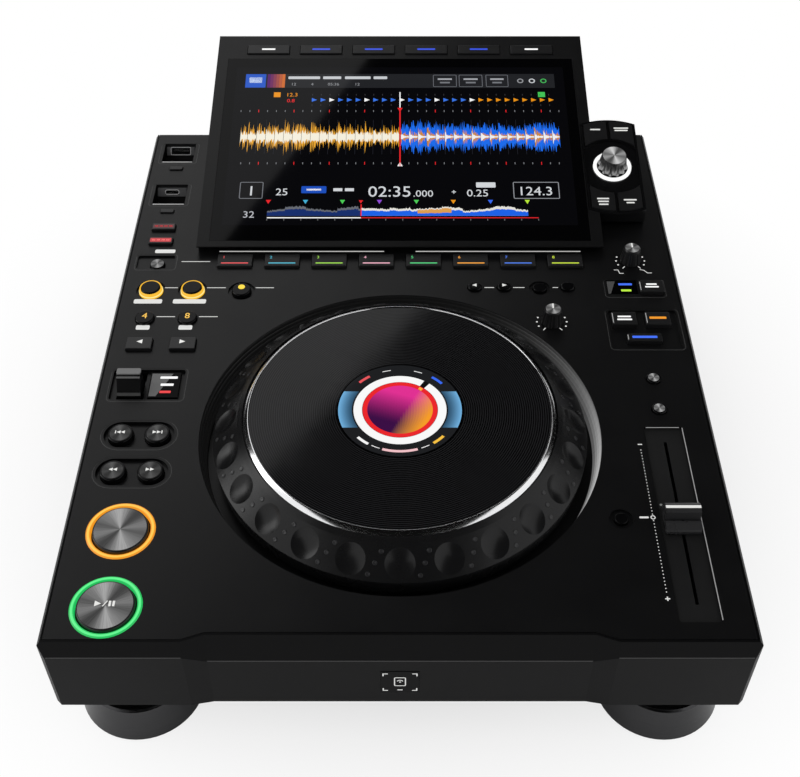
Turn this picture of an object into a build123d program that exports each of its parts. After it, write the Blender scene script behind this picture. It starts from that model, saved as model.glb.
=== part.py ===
from build123d import *
import os
from dataclasses import dataclass
from math import atan2, cos, degrees, radians, sin

# Tabletop media player for DJ use, with a large platter, a raised screen and four tall feet.
# Frame: origin at the bottom centre of the bounding box, X to the right, Y to the back, Z up.
# Lengths are in millimetres. "In from the front" is measured from the foremost face of the case.

# ---------------------------------------------------------------- overall sizes
body_width = 329.0
overall_depth = 455.0
screen_overhang = 55.3
body_depth = overall_depth - screen_overhang
foot_height = 36.7
case_height = 50.3
screen_rise = 42.3

front_y = -overall_depth / 2
back_y = overall_depth / 2
side_x = body_width / 2
case_bottom = foot_height
deck = foot_height + case_height
case_back = front_y + body_depth

# ---------------------------------------------------------------- case shell
side_wall = 2.2
floor_wall = 2.5
front_rim = 1.2
side_chamfer = 1.5
side_chamfer_drop = 2.1
corner_chamfer = 2.5
band_setback = 3.0
band_drop = 9.0
centre_setback = 1.9
centre_band_setback = 4.9
centre_band_drop = 14.7
notch_outer_half = 99.5
notch_inner_half = 89.0
panel_gap = 0.3
panel_thickness = 4.0
weld = 0.5
cut_past = 1.0
rear_panel_thickness = 2.0
boss_radius = 3.6
boss_hole_radius = 1.6
screw_radius = 1.5
screw_head_radius = 2.9
screw_head_height = 2.0
boss_inset = 5.5
boss_gap = 0.4
boss_cap = 6.0
screw_recess_gap = 0.2
screw_bury = 0.4
screw_end_gap = 2.0
boss_front = 9.5
boss_middle = 204.0
boss_back = 8.5
boss_back_in = 35.5

# ---------------------------------------------------------------- feet
foot_base_radius = 31.5
foot_rim_radius = 27.5
foot_flare_height = 20.0
foot_neck_radius = 19.0
foot_pad_radius = foot_base_radius - 2.0
foot_pad_thickness = 1.5
foot_pad_proud = 0.7
foot_side_inset = 32.5
foot_front_inset = 32.0
foot_back_inset = 50.0
foot_screw_radius = 2.5
foot_screw_head_radius = 5.0
foot_screw_head_height = 2.4
foot_screw_depth = 18.0
foot_screw_gap = 0.1
foot_edge = (0.6, 0.8)
foot_rim_edge = (1.2, 1.0)

# ---------------------------------------------------------------- platter
jog_from_front = 132.6
jog_outer_radius = 97.65
well_radius = jog_outer_radius + 7.45
well_floor_radius = well_radius - 3.6
well_wall = 2.5
well_depth = 14.0
well_lip = 3.0
well_wall_lip = 6.0
jog_edge = 0.4
jog_skirt_radius = jog_outer_radius - 0.85
jog_skirt_drop = 9.0
jog_skirt_step = 2.0
jog_cone_radius = jog_outer_radius - 13.65
jog_cone_height = 12.0
jog_wall = 4.0
jog_web = 3.5
trim_ring_outer = jog_cone_radius - 2.7
trim_ring_inner = trim_ring_outer - 3.3
trim_ring_height = 3.6
trim_ring_bevel = 0.8
jog_lip_gap = 0.1
jog_lip_height = 2.0
display_radius = 32.2
display_thickness = 3.2
jog_disc_outer = trim_ring_inner - 0.2
jog_disc_inner = display_radius + 0.6
jog_disc_height = 3.0
jog_hub_radius = 19.0
jog_hub_drop = 12.0
jog_hub_top = 4.0
jog_hole_radius = display_radius + 1.8
jog_tunnel_wall = 6.0
spindle_radius = jog_hub_radius - 7.0
spindle_bore = spindle_radius - 5.0
spindle_clearance = 0.05
spindle_flange_radius = 30.0
spindle_flange_height = 1.7
spindle_top = 10.6
spindle_head_radius = 15.0
spindle_head_height = 1.2
dimple_count = 24
dimple_radius = 7.8
dimple_depth = 1.6

# ---------------------------------------------------------------- screen housing
housing_width = 245.0
housing_length = 183.1
housing_front_height = 5.7
housing_back_height = 22.0
housing_wall = 2.6
housing_top_wall = 9.0
housing_back_edge = 0.6
housing_hollow_from_front = 32.0
housing_hollow_floor_in = 3.0
housing_hollow_side = 10.0
housing_back_bevel = 0.8
undercut_depth = 6.3
undercut_height = 4.8
glass_width = housing_width - 15.0
glass_length = housing_length - 26.7
glass_from_edge = 4.6
glass_thickness = 1.5
glass_gap = 0.15
screen_width = glass_width - 8.0
screen_length = glass_length - 14.4
screen_thickness = 4.0
screen_gap = 0.2
screen_behind_gap = 0.1
slope_cutter = 10.0

# ---------------------------------------------------------------- selector pod
pod_centre_x = housing_width / 2 + 11.1
pod_half_width = 17.6
pod_from_edge = 25.5
pod_length = 79.0
pod_corner = 3.0
pod_end_radius = 45.0
pod_gap = 0.2
dish_radius = 21.8
dish_half_width = pod_half_width - 1.0
dish_depth = 1.0
dish_from_edge = 64.8
pod_key_inner = 1.0
pod_key_outer = pod_half_width - 2.0
pod_key_margin = 2.0
pod_key_gap_to_dish = 0.9
knob_base_radius = 9.2
knob_top_radius = knob_base_radius - 1.7
ring_inner = knob_base_radius + 0.6
ring_outer = ring_inner + 2.2
ring_height = 1.2
knob_height = 9.4
knob_lift = 1.2
knob_bore_depth = 7.5
knob_flutes = 12
knob_flute_radius = 2.0
knob_flute_reach = 0.9
knob_flute_share = 0.8
shaft_radius = 3.0
shaft_clearance = 0.05
shaft_depth = 8.0
shaft_floor_gap = 1.5
shaft_top_gap = 0.3

# ---------------------------------------------------------------- small knobs and lever
dial_radius = 6.4
dial_top_radius = dial_radius - 1.5
dial_height = 9.8
dial_skirt = 0.8
dial_bevel = 0.6
dial_flutes = 12
dial_flute_radius = 1.1
dial_flute_reach = 0.55
dial_flute_share = 0.86
dial_lift = 0.4
dial_stem_radius = 3.0
dial_stem_clearance = 0.08
dial_stem_length = 7.0
dial_flange_radius = 4.5
dial_flange_thickness = 1.2
speed_dial_in = 26.2
speed_dial_from_front = 268.4
jog_dial_x = 86.6
jog_dial_from_front = 214.8

lever_frame_in = 27.5
lever_frame_from_front = 165.0
lever_frame_width = 39.2
lever_frame_depth = 22.4
lever_width = 12.6
lever_offset = -8.7
lever_height = 9.0
lever_foot_low = 2.2
lever_foot_high = 0.3
lever_cap_front = -2.7
lever_cap_back = 2.2
lever_foot_front = -8.8
lever_foot_back = 3.6
lever_pivot_drop = 9.0
lever_hub_radius = 4.4
lever_pin_radius = 2.0
lever_pin_clearance = 0.05
lever_pin_length = 2.4
lever_lug_thickness = 2.4
lever_lug_gap = 0.4
lever_opening_margin = 1.0
lever_opening_end = 0.3
lever_lug_half = 4.5
lever_lug_below = 4.0
lever_lug_flare = 1.5
lever_board_gap = 6.0
lever_board_length = 26.0
lever_window_offset = 9.1
lever_window_width = 16.3
lever_window_depth = 18.7

# ---------------------------------------------------------------- tempo fader
fader_in = 26.6
fader_from_front = 74.0
fader_travel = 47.5
fader_cap_width = 17.3
fader_cap_front = 9.8
fader_cap_back = 6.0
fader_cap_front_height = 1.0
fader_ramp_front = 9.2
fader_ramp_height = 2.0
fader_ridge_front = 6.6
fader_ridge_back = 5.3
fader_ridge_height = 4.0
fader_valley_front = 4.6
fader_valley_back = 3.7
fader_valley_height = 2.4
fader_grip_half = 3.1
fader_grip_height = 8.5
fader_grip_top_half = 1.5
fader_grip_shoulder = 7.6
fader_cap_lift = 0.5
fader_recess_width = fader_cap_width + 2.9
fader_recess_margin = 3.05
fader_recess_length = 2 * (fader_travel + fader_cap_front + fader_recess_margin)
fader_recess_depth = 1.2
fader_stem_width = 0.9
fader_stem_length = 4.0
fader_stem_depth = 10.0
fader_slot_width = fader_stem_width + 0.6
fader_slot_end = 0.6
fader_body_width = 15.0
fader_body_end = 6.0
fader_body_depth = 10.5
fader_channel_width = fader_stem_width + 2.4
fader_channel_end = 2.0
fader_channel_floor = 2.0
fader_board_gap = 1.0

# ---------------------------------------------------------------- media sockets on the deck
usb_in = 18.0
usb_from_front = (378.9, 333.9)
usb_recess_width = 20.4
usb_recess_length = 20.4
usb_recess_depth = 10.0
usb_box_wall = 1.5
usb_slope_start = 0.8
usb_slope_angle = 45.0
usb_bezel_width = 18.4
usb_bezel_length = 5.6
usb_bezel_thickness = 0.8
usb_bezel_along = 4.2
usb_shell_wall = 0.35
usb_shell_depth = 11.0
usb_a_mouth = (12.5, 4.6)
usb_c_mouth = (8.4, 2.6)
usb_a_tongue = 1.6
usb_c_tongue = 0.7
usb_a_tongue_lift = 0.2
usb_tongue_share = 0.84
usb_shell_floor = 1.6
usb_shell_gap = 0.1
usb_plate_gap = 0.05

# ---------------------------------------------------------------- keys
key_gap = 0.3
key_flange = 0.9
key_flange_thickness = 1.2
key_flange_gap = 0.3
key_stem_radius = 1.5
small_travel = 0.8
large_travel = 1.0
board_drop = 12.0
board_thickness = 1.6
switch_size = 5.2
switch_height = 2.2
switch_gap = 0.3
recess_depth = 2.0
socket_depth = 1.2

cue_in = 28.6
cue_from_front = 65.7
play_from_front = 21.8
transport_radius = 13.7
transport_height = 1.5
transport_ring_inner = transport_radius + 0.5
transport_ring_outer = transport_ring_inner + 2.7
transport_ring_height = 0.5
transport_ring_depth = 2.0
transport_ring_gap = 0.1

pad_pitch = 28.25
pad_count = 8
pad_width = 21.0
pad_depth = 11.0
pad_height = 1.8
pad_from_front = 267.4

left_outer_in = 18.6
left_inner_in = 43.0
search_pair_in = 28.3
search_pitch = 19.2
search_radius = 6.7
search_height = 1.4
search_recess_margin = 2.2
search_recess_width = 2 * (search_radius + search_recess_margin)
search_recess_length = search_pitch + search_recess_width
track_search_from_front = 128.6
search_from_front = 103.2

menu_key_count = 6
menu_key_pitch = 35.4 * housing_width / 245.0
menu_key_width = menu_key_pitch - 7.2
menu_key_depth = 8.0
menu_key_from_edge = 169.4
menu_key_height = 0.9
slope_key_body = 4.0
slope_pocket_depth = slope_key_body + 1.2
slope_pocket_above = 2.0
selector_key_height = 0.8

beat_jump_from_front = 195.6
beat_jump_size = (14.6, 9.2)
beat_jump_height = 2.0
beat_loop_from_front = 217.3
beat_loop_diameter = 11.0
beat_loop_height = 1.8
loop_from_front = 242.0
loop_diameter = 11.4
loop_height = 2.6
loop_ring_gap = 0.3
loop_ring_width = 1.0
loop_ring_height = 0.6
loop_socket_margin = 2.8
reloop_in = 71.7
reloop_from_front = 241.4
reloop_diameter = 11.2
reloop_height = 1.6
reloop_socket_margin = 2.2
pad_delete_in = 19.2
pad_delete_from_front = 265.4
pad_delete_diameter = 8.8
pad_delete_height = 0.6
pad_delete_tray = (22.4, 11.9)
pad_delete_tray_shift = (-1.2, 2.0)
delete_x = 82.0
delete_from_front = 243.9
delete_size = (8.2, 7.4)
delete_height = 0.8
delete_socket_margin = 2.2
memory_x = (43.8, 61.1, 98.3)
memory_from_front = 244.3
memory_size = (8.4, 7.0)
memory_height = 1.6
mode_from_front = (299.5, 286.1)
mode_size = (14.6, 6.1)
mode_height = 1.8
stop_in = 18.4
stop_in_front_of_socket = 17.7
stop_size = (8.6, 3.4)
stop_height = 0.9
sync_pair_in = 27.1
sync_pitch = 19.1
sync_from_front = 215.8
sync_size = (14.0, 10.5)
sync_height = 2.2
key_sync_in = 27.0
key_sync_from_front = 200.4
key_sync_size = (19.6, 6.0)
key_sync_height = 1.8
sync_tray_in = 25.8
sync_tray_from_front = 208.9
sync_tray = (39.1, 30.8)
jog_mode_in = 17.2
jog_mode_from_front = 243.1
jog_mode_size = (14.2, 9.8)
jog_mode_height = 2.4
tempo_range_in = 26.4
tempo_range_from_front = 169.3
master_tempo_in = 26.6
master_tempo_from_front = 146.6
tempo_diameter = 8.0
tempo_height = 1.2
tempo_reset_in = 55.9
tempo_reset_from_front = 73.0
tempo_reset_diameter = 6.8
tempo_reset_height = 0.8
tempo_reset_socket_margin = 2.6
tray_corner = 1.6
key_edge = 0.9
block_edge = 0.45
key_edge_share = 0.6

# ---------------------------------------------------------------- windows
mode_window_in = 34.2
mode_window_from_front = 244.6
mode_window_width = 17.8
mode_window_depth = 12.1
window_thickness = 1.6
window_sink = 0.3
window_gap = 0.1
badge_width = 18.2
badge_height = 18.4
badge_drop = 23.2
badge_thickness = 0.8
badge_proud = 0.2

# ---------------------------------------------------------------- inside
standoff_height = 6.0
standoff_radius = 3.0
main_board_width = 236.0
main_board_length = 118.0
main_board_from_back = 9.0
main_board_thickness = 1.6
standoff_edge = 1.0
processor_size = 34.0
processor_height = 6.0
processor_place = (-30.0, 6.0)
memory_chip_size = 18.0
memory_chip_height = 2.4
memory_chip_place = (30.0, -8.0)
network_chip_size = (14.0, 22.0)
network_chip_height = 1.6
network_chip_place = (62.0, -14.0)
capacitor_count = 4
capacitor_radius = 5.0
capacitor_height = 11.0
capacitor_x = 96.0
capacitor_start = -36.0
capacitor_pitch = 14.0
key_board_side = 3.0
key_board_front = 7.0
key_board_back = 304.0
key_board_well_gap = 1.5
key_board_arm = 58.0
board_post_radius = 2.5
board_post_in = 50.0
board_post_rows = (34.0, 180.0, 296.0)
supply_width = 112.0
supply_length = 150.0
supply_height = 22.0
supply_x = -92.0
supply_from_front = 150.0
supply_corner = 2.0

# ---------------------------------------------------------------- rear sockets
jack_radius = 4.15
jack_bore = 1.65
jack_neck_radius = 3.9
jack_length = 9.0
jack_pitch = 15.0
jack_x = -96.0
jack_base = 12.0
jack_bore_depth = 4.0
jack_neck_grip = 0.1
jack_z = deck - 24.0
digital_jack_x = -56.0
lan_x = -26.0
lan_mouth = (11.8, 8.0)
lan_body = (16.0, 13.4)
lan_depth = 18.0
lan_cavity = 12.0
mouth_past = 0.01
host_x = 2.0
host_mouth = (8.6, 7.9)
host_body = (12.0, 10.8)
host_tongue = (5.6, 3.2)
power_x = 104.0
power_mouth = (24.0, 16.6)
power_body = (27.6, 20.2)
power_flange = (48.0, 24.0)
power_flange_thickness = 1.5
power_depth = 18.0
power_cavity = 15.0
power_pin = (2.0, 4.0)
power_pin_length = 12.0
power_pin_pitch = 7.0
power_pin_drop = 2.0
power_earth_rise = 2.2
power_screw_pitch = 40.0
power_screw_radius = 1.6
power_screw_dimple = 0.4
power_pin_root = 1.0
socket_gap = 0.15
rear_panel_side_gap = 0.2
rear_panel_top_gap = 0.1

slope_rise = screen_rise - housing_front_height
slope = atan2(slope_rise, (housing_length**2 - slope_rise**2) ** 0.5)
housing_front = back_y - housing_back_edge - housing_length * cos(slope)
left = -side_x
right = side_x


# ================================================================ helpers
def span_box(x0, x1, y0, y1, z0, z1):
    """A box between two corners."""
    centre = ((x0 + x1) / 2, (y0 + y1) / 2, (z0 + z1) / 2)
    return Pos(*centre) * Box(abs(x1 - x0), abs(y1 - y0), abs(z1 - z0))


def block(x, y, width, length, z0, z1, corner=0.0):
    """An upright block about a centre, with rounded vertical edges where corner is given."""
    if corner <= 0:
        return span_box(x - width / 2, x + width / 2, y - length / 2, y + length / 2, z0, z1)
    outline = Pos(x, y, z0) * RectangleRounded(width, length, corner)
    return extrude(outline, z1 - z0)


def post(x, y, radius, z0, z1):
    """An upright cylinder between two heights."""
    return Pos(x, y, (z0 + z1) / 2) * Cylinder(radius, z1 - z0)


def tube(x, y, outer, inner, z0, z1):
    """An upright ring between two heights."""
    return post(x, y, outer, z0, z1) - post(x, y, inner, z0 - cut_past, z1 + cut_past)


def oval(x, y, width, length, z0, z1):
    """An upright slot-shaped block: round ends along its longer side, or a disc where both match."""
    if width == length:
        return post(x, y, width / 2, z0, z1)
    if width > length:
        outline = Pos(x, y, z0) * SlotOverall(width, length)
    else:
        outline = Pos(x, y, z0) * SlotOverall(length, width, rotation=90)
    return extrude(outline, z1 - z0)


def turned(points, x, y):
    """A solid of revolution about the vertical through x, y, from points of radius and height."""
    outline = Plane.XZ * Polygon(*points, align=None)
    return Pos(x, y, 0) * revolve(outline, Axis.Z)


def ridge(x0, x1, points):
    """A prism along X between x0 and x1, from points of y and z."""
    outline = Plane.YZ * Polygon(*points, align=None)
    return Pos(x0, 0, 0) * extrude(outline, x1 - x0, dir=(1, 0, 0))


def on_slope(x, along, lift=0.0):
    """The frame of a point on the screen housing's sloping face, Z along its normal."""
    y = housing_front + along * cos(slope) - lift * sin(slope)
    z = deck + housing_front_height + along * sin(slope) + lift * cos(slope)
    return Pos(x, y, z) * Rot(degrees(slope), 0, 0)


def flutes(count, reach, tilt, cutter):
    """Copies of a groove cutter, evenly spaced round the origin and leaning inwards."""
    leaning = Pos(reach, 0, 0) * Rot(0, -tilt, 0) * cutter
    return [Rot(0, 0, index * 360 / count) * leaning for index in range(count)]


def write(name, shape):
    """Write one sub-part to its STEP file."""
    export_step(shape, os.path.join("parts", name + ".step"))


# ================================================================ key layout
@dataclass(frozen=True)
class Key:
    """A push key in the deck: its outline, its top above the deck and how far it travels."""

    x: float
    y: float
    width: float
    length: float
    height: float
    travel: float = small_travel
    shape: str = "block"
    corner: float = 0.8

    def outline(self, grow, z0, z1):
        """The key's outline, grown all round, between two heights."""
        wide = self.width + 2 * grow
        long = self.length + 2 * grow
        if self.shape == "round":
            return post(self.x, self.y, wide / 2, z0, z1)
        if self.shape == "oval":
            return oval(self.x, self.y, wide, long, z0, z1)
        return block(self.x, self.y, wide, long, z0, z1, self.corner + grow)

    def solid(self):
        """The key: a cap through the deck, a retaining flange below it, and a stem."""
        flange_top = deck - panel_thickness - key_flange_gap
        flange_bottom = flange_top - key_flange_thickness
        switch_top = deck - board_drop + switch_height
        cap = self.outline(0, flange_bottom, deck + self.height)
        edge = block_edge if self.shape == "block" else min(key_edge, self.height * key_edge_share)
        cap = fillet(cap.edges().group_by(Axis.Z)[-1], edge)
        flange = self.outline(key_flange, flange_bottom, flange_top)
        stem_bottom = switch_top + self.travel + switch_gap
        stem = post(self.x, self.y, key_stem_radius, stem_bottom, flange_bottom + weld)
        return cap + flange + stem

    def hole(self):
        """The clearance hole for the key through the deck panel."""
        return self.outline(key_gap, deck - panel_thickness - cut_past, deck + cut_past)

    def switch(self):
        """The switch below the key's stem, standing on the key board."""
        low = deck - board_drop
        return block(self.x, self.y, switch_size, switch_size, low, low + switch_height)


def from_left(inset):
    return left + inset


def from_right(inset):
    return right - inset


def from_front(distance):
    return front_y + distance


outer_x = from_left(left_outer_in)
inner_x = from_left(left_inner_in)
pair_x = from_left(search_pair_in)
cue_x = from_left(cue_in)
jog_y = from_front(jog_from_front)


def key_at(x, distance, size, height):
    """A block-shaped key from its place and plan size."""
    return Key(x, from_front(distance), size[0], size[1], height)


def round_key(x, distance, diameter, height, travel=small_travel):
    """A round key from its place and diameter."""
    return Key(x, from_front(distance), diameter, diameter, height, travel, "round")


def oval_key(x, distance, size, height):
    """A slot-shaped key from its place and plan size."""
    return Key(x, from_front(distance), size[0], size[1], height, shape="oval")


def large_key(x, distance, radius, height):
    """A round key with the longer travel."""
    return round_key(x, distance, 2 * radius, height, large_travel)


search_x = (pair_x - search_pitch / 2, pair_x + search_pitch / 2)
sync_x = (from_right(sync_pair_in + sync_pitch / 2), from_right(sync_pair_in - sync_pitch / 2))
deck_keys = {
    "play_key": [large_key(cue_x, play_from_front, transport_radius, transport_height)],
    "cue_key": [large_key(cue_x, cue_from_front, transport_radius, transport_height)],
    "track_search_keys": [large_key(x, track_search_from_front, search_radius, search_height)
                          for x in search_x],
    "search_keys": [large_key(x, search_from_front, search_radius, search_height) for x in search_x],
    "beat_jump_keys": [key_at(x, beat_jump_from_front, beat_jump_size, beat_jump_height)
                       for x in (outer_x, inner_x)],
    "beat_loop_keys": [round_key(x, beat_loop_from_front, beat_loop_diameter, beat_loop_height)
                       for x in (outer_x, inner_x)],
    "loop_in_key": [round_key(outer_x, loop_from_front, loop_diameter, loop_height)],
    "loop_out_key": [round_key(inner_x, loop_from_front, loop_diameter, loop_height)],
    "reloop_key": [round_key(from_left(reloop_in), reloop_from_front, reloop_diameter, reloop_height)],
    "pad_delete_key": [round_key(from_left(pad_delete_in), pad_delete_from_front, pad_delete_diameter,
                                 pad_delete_height)],
    "delete_key": [oval_key(delete_x, delete_from_front, delete_size, delete_height)],
    "memory_keys": [oval_key(x, memory_from_front, memory_size, memory_height) for x in memory_x],
    "mode_keys": [key_at(outer_x, distance, mode_size, mode_height) for distance in mode_from_front],
    "usb_stop_keys": [key_at(from_left(stop_in), distance - stop_in_front_of_socket, stop_size, stop_height)
                      for distance in usb_from_front],
    "sync_keys": [key_at(x, sync_from_front, sync_size, sync_height) for x in sync_x],
    "key_sync_key": [key_at(from_right(key_sync_in), key_sync_from_front, key_sync_size,
                            key_sync_height)],
    "jog_mode_key": [key_at(from_right(jog_mode_in), jog_mode_from_front, jog_mode_size, jog_mode_height)],
    "tempo_keys": [round_key(from_right(inset), distance, tempo_diameter, tempo_height)
                   for inset, distance in ((tempo_range_in, tempo_range_from_front),
                                           (master_tempo_in, master_tempo_from_front))],
    "tempo_reset_key": [round_key(from_right(tempo_reset_in), tempo_reset_from_front, tempo_reset_diameter,
                                  tempo_reset_height)],
}
for pad in range(pad_count):
    pad_x = (pad - (pad_count - 1) / 2) * pad_pitch
    pad_key = key_at(pad_x, pad_from_front, (pad_width, pad_depth), pad_height)
    deck_keys[f"hot_cue_pad_{pad + 1}"] = [pad_key]

stop_keys = deck_keys["usb_stop_keys"]
all_keys = [key for keys in deck_keys.values() for key in keys]
boarded_keys = [key for key in all_keys if key not in stop_keys]


def socket_round(name, margin):
    """A shallow pocket round one key: x, y, width, length and depth."""
    key = deck_keys[name][0]
    return key.x, key.y, key.width + 2 * margin, key.length + 2 * margin, socket_depth


# Shallow round or long pockets that keys stand in: x, y, width, length, depth.
sockets = [
    socket_round("loop_in_key", loop_socket_margin),
    socket_round("loop_out_key", loop_socket_margin),
    socket_round("reloop_key", reloop_socket_margin),
    socket_round("delete_key", delete_socket_margin),
    socket_round("tempo_reset_key", tempo_reset_socket_margin),
    (pair_x, from_front(track_search_from_front), search_recess_length, search_recess_width, recess_depth),
    (pair_x, from_front(search_from_front), search_recess_length, search_recess_width, recess_depth),
]
# Rectangular pockets: x, y, width, length, depth.
trays = [
    (from_left(pad_delete_in) + pad_delete_tray_shift[0],
     from_front(pad_delete_from_front) + pad_delete_tray_shift[1], *pad_delete_tray, socket_depth),
    (from_right(sync_tray_in), from_front(sync_tray_from_front), *sync_tray, socket_depth),
    (from_left(lever_frame_in), from_front(lever_frame_from_front), lever_frame_width, lever_frame_depth,
     recess_depth),
    (from_right(fader_in), from_front(fader_from_front), fader_recess_width, fader_recess_length,
     fader_recess_depth),
]

foot_places = [
    (side * (side_x - foot_side_inset), y)
    for y in (from_front(foot_front_inset), case_back - foot_back_inset)
    for side in (-1, 1)
]
boss_x = side_x - side_wall - boss_inset
boss_places = [
    (side * x, y)
    for x, y in ((boss_x, from_front(boss_front)), (boss_x, from_front(boss_middle)),
                 (side_x - boss_back_in, case_back - boss_back))
    for side in (-1, 1)
]
standoff_in = standoff_radius + standoff_edge
main_board_back = case_back - main_board_from_back
standoff_places = [
    (side * (main_board_width / 2 - standoff_in), y)
    for y in (main_board_back - main_board_length + standoff_in, main_board_back - standoff_in)
    for side in (-1, 1)
]


# ================================================================ case
def front_stations(outer):
    """Stations across the front: x, the deck edge's y, the band's lower y and its drop."""
    sides = (front_y + band_setback, front_y, band_drop)
    centre = (front_y + centre_setback + centre_band_setback, front_y + centre_setback, centre_band_drop)
    return [
        (-outer, *sides), (-notch_outer_half, *sides), (-notch_inner_half, *centre),
        (notch_inner_half, *centre), (notch_outer_half, *sides), (outer, *sides),
    ]


def cavity_outline(half, back, grow=0.0):
    """The plan of the space inside the rim, as points, set in by grow."""
    side_edge = front_y + band_setback + front_rim + grow
    centre_edge = front_y + centre_setback + centre_band_setback + front_rim + grow
    return [
        (-half, side_edge), (-notch_outer_half, side_edge), (-notch_inner_half, centre_edge),
        (notch_inner_half, centre_edge), (notch_outer_half, side_edge), (half, side_edge),
        (half, back), (-half, back),
    ]


def lower_case():
    """The case: floor, side walls and front, with the sloping band along the front edge."""
    sections = []
    for x, top_y, band_y, drop in front_stations(side_x):
        points = [(top_y, deck), (band_y, deck - drop), (band_y, case_bottom), (case_back, case_bottom),
                  (case_back, deck)]
        sections.append(Pos(x, 0, 0) * (Plane.YZ * Polygon(*points, align=None)))
    shell = loft(sections, ruled=True)
    inside_half = side_x - side_wall
    cavity = Polygon(*cavity_outline(inside_half, case_back + cut_past), align=None)
    shell -= Pos(0, 0, case_bottom + floor_wall) * extrude(cavity, case_height, dir=(0, 0, 1))
    for side in (-1, 1):
        edge = [(side * side_x, deck), (side * (side_x - side_chamfer), deck),
                (side * side_x, deck - side_chamfer_drop)]
        wedge = Plane.XZ * Polygon(*edge, align=None)
        shell -= Pos(0, front_y - cut_past, 0) * extrude(wedge, body_depth + 2 * cut_past, dir=(0, 1, 0))
        corner = [(side * side_x, front_y), (side * (side_x - corner_chamfer), front_y),
                  (side * side_x, front_y + corner_chamfer)]
        cut = extrude(Polygon(*corner, align=None), case_height + 2 * cut_past, dir=(0, 0, 1))
        shell -= Pos(0, 0, case_bottom - cut_past) * cut
    for x, y in boss_places:
        shell += post(x, y, boss_radius, case_bottom + weld, deck - panel_thickness)
        shell -= post(x, y, boss_hole_radius, case_bottom - cut_past, deck - panel_thickness - boss_cap)
        shell -= post(x, y, screw_head_radius + screw_recess_gap, case_bottom - cut_past,
                      case_bottom + screw_head_height)
    for x, y in standoff_places:
        shell += post(x, y, standoff_radius, case_bottom + weld, case_bottom + floor_wall + standoff_height)
    for x, y in foot_places:
        shell -= post(x, y, foot_screw_radius + foot_screw_gap, case_bottom - cut_past,
                      case_bottom + floor_wall + cut_past)
    badge_z = deck - badge_drop - badge_height / 2
    badge_front = front_y + centre_setback
    half = badge_width / 2 + window_gap
    tall = badge_height / 2 + window_gap
    shell -= span_box(-half, half, badge_front - cut_past, badge_front - badge_proud + badge_thickness,
                      badge_z - tall, badge_z + tall)
    return shell


def screws():
    """Case screws from below, one in each boss, and the screws that hold the feet."""
    group = []
    for x, y in boss_places:
        head_z = case_bottom + screw_head_height
        group.append(post(x, y, screw_head_radius, case_bottom + screw_bury, head_z)
                     + post(x, y, screw_radius, head_z, deck - panel_thickness - boss_cap - screw_end_gap))
    for x, y in foot_places:
        floor_top = case_bottom + floor_wall
        group.append(post(x, y, foot_screw_head_radius, floor_top, floor_top + foot_screw_head_height)
                     + post(x, y, foot_screw_radius, case_bottom - foot_screw_depth, floor_top))
    return Compound(children=group)


def feet():
    """Four turned feet: a wide flared base and a narrow neck under the case."""
    group = []
    base = foot_pad_proud
    for x, y in foot_places:
        flare = foot_flare_height + base
        ledge = flare + foot_rim_edge[1]
        foot = turned([(0, base), (foot_base_radius - foot_edge[0], base),
                       (foot_base_radius, base + foot_edge[1]), (foot_rim_radius, flare),
                       (foot_rim_radius - foot_rim_edge[0], ledge), (foot_neck_radius, ledge),
                       (foot_neck_radius, foot_height), (0, foot_height)], x, y)
        foot -= post(x, y, foot_pad_radius + foot_screw_gap, base - cut_past, foot_pad_thickness)
        foot -= post(x, y, foot_screw_radius + foot_screw_gap,
                     foot_height - foot_screw_depth - foot_screw_gap, foot_height + cut_past)
        group.append(foot)
    return Compound(children=group)


def foot_pads():
    """Rubber pads let into the feet."""
    return Compound(children=[post(x, y, foot_pad_radius, 0, foot_pad_thickness) for x, y in foot_places])


# ================================================================ deck panel
def fader_slot(z0, z1):
    """The slot the fader's stem runs in, with clearance at its ends."""
    length = 2 * fader_travel + fader_stem_length + 2 * fader_slot_end
    return block(from_right(fader_in), from_front(fader_from_front), fader_slot_width, length, z0, z1)


def lever_frame():
    """Centre of the direction lever's frame."""
    return from_left(lever_frame_in), from_front(lever_frame_from_front)


def lever_centre():
    """Centre line of the direction lever itself."""
    x, y = lever_frame()
    return x + lever_offset, y


def usb_slope_point(y, along):
    """A point on a media socket's sloping back wall, measured along the wall from its top."""
    top_y = y + usb_recess_length / 2
    step = along * cos(radians(usb_slope_angle))
    return top_y - step, deck - usb_slope_start - step


def usb_frame(y, along, lift=0.0):
    """A frame on the sloping wall, with Z out of the wall and Y up the slope."""
    wall_y, wall_z = usb_slope_point(y, along)
    shift = lift * cos(radians(usb_slope_angle))
    return Pos(from_left(usb_in), wall_y - shift, wall_z + shift) * Rot(usb_slope_angle, 0, 0)


def usb_recess(panel, y):
    """The deck with one media recess added: a box below it whose back wall slopes."""
    x = from_left(usb_in)
    half_width = usb_recess_width / 2
    half_length = usb_recess_length / 2
    floor = deck - usb_recess_depth
    wide, long = half_width + usb_box_wall, half_length + usb_box_wall
    panel += span_box(x - wide, x + wide, y - long, y + long, floor - usb_box_wall,
                      deck - panel_thickness + weld)
    panel -= span_box(x - half_width, x + half_width, y - half_length, y + half_length, floor,
                      deck + cut_past)
    top = deck - usb_slope_start
    wall_y = y + half_length
    wedge = [(wall_y + weld, top + weld), (wall_y + weld, floor - weld),
             (wall_y - (top - floor) - weld, floor - weld)]
    return panel + ridge(x - half_width - weld, x + half_width + weld, wedge)


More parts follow.
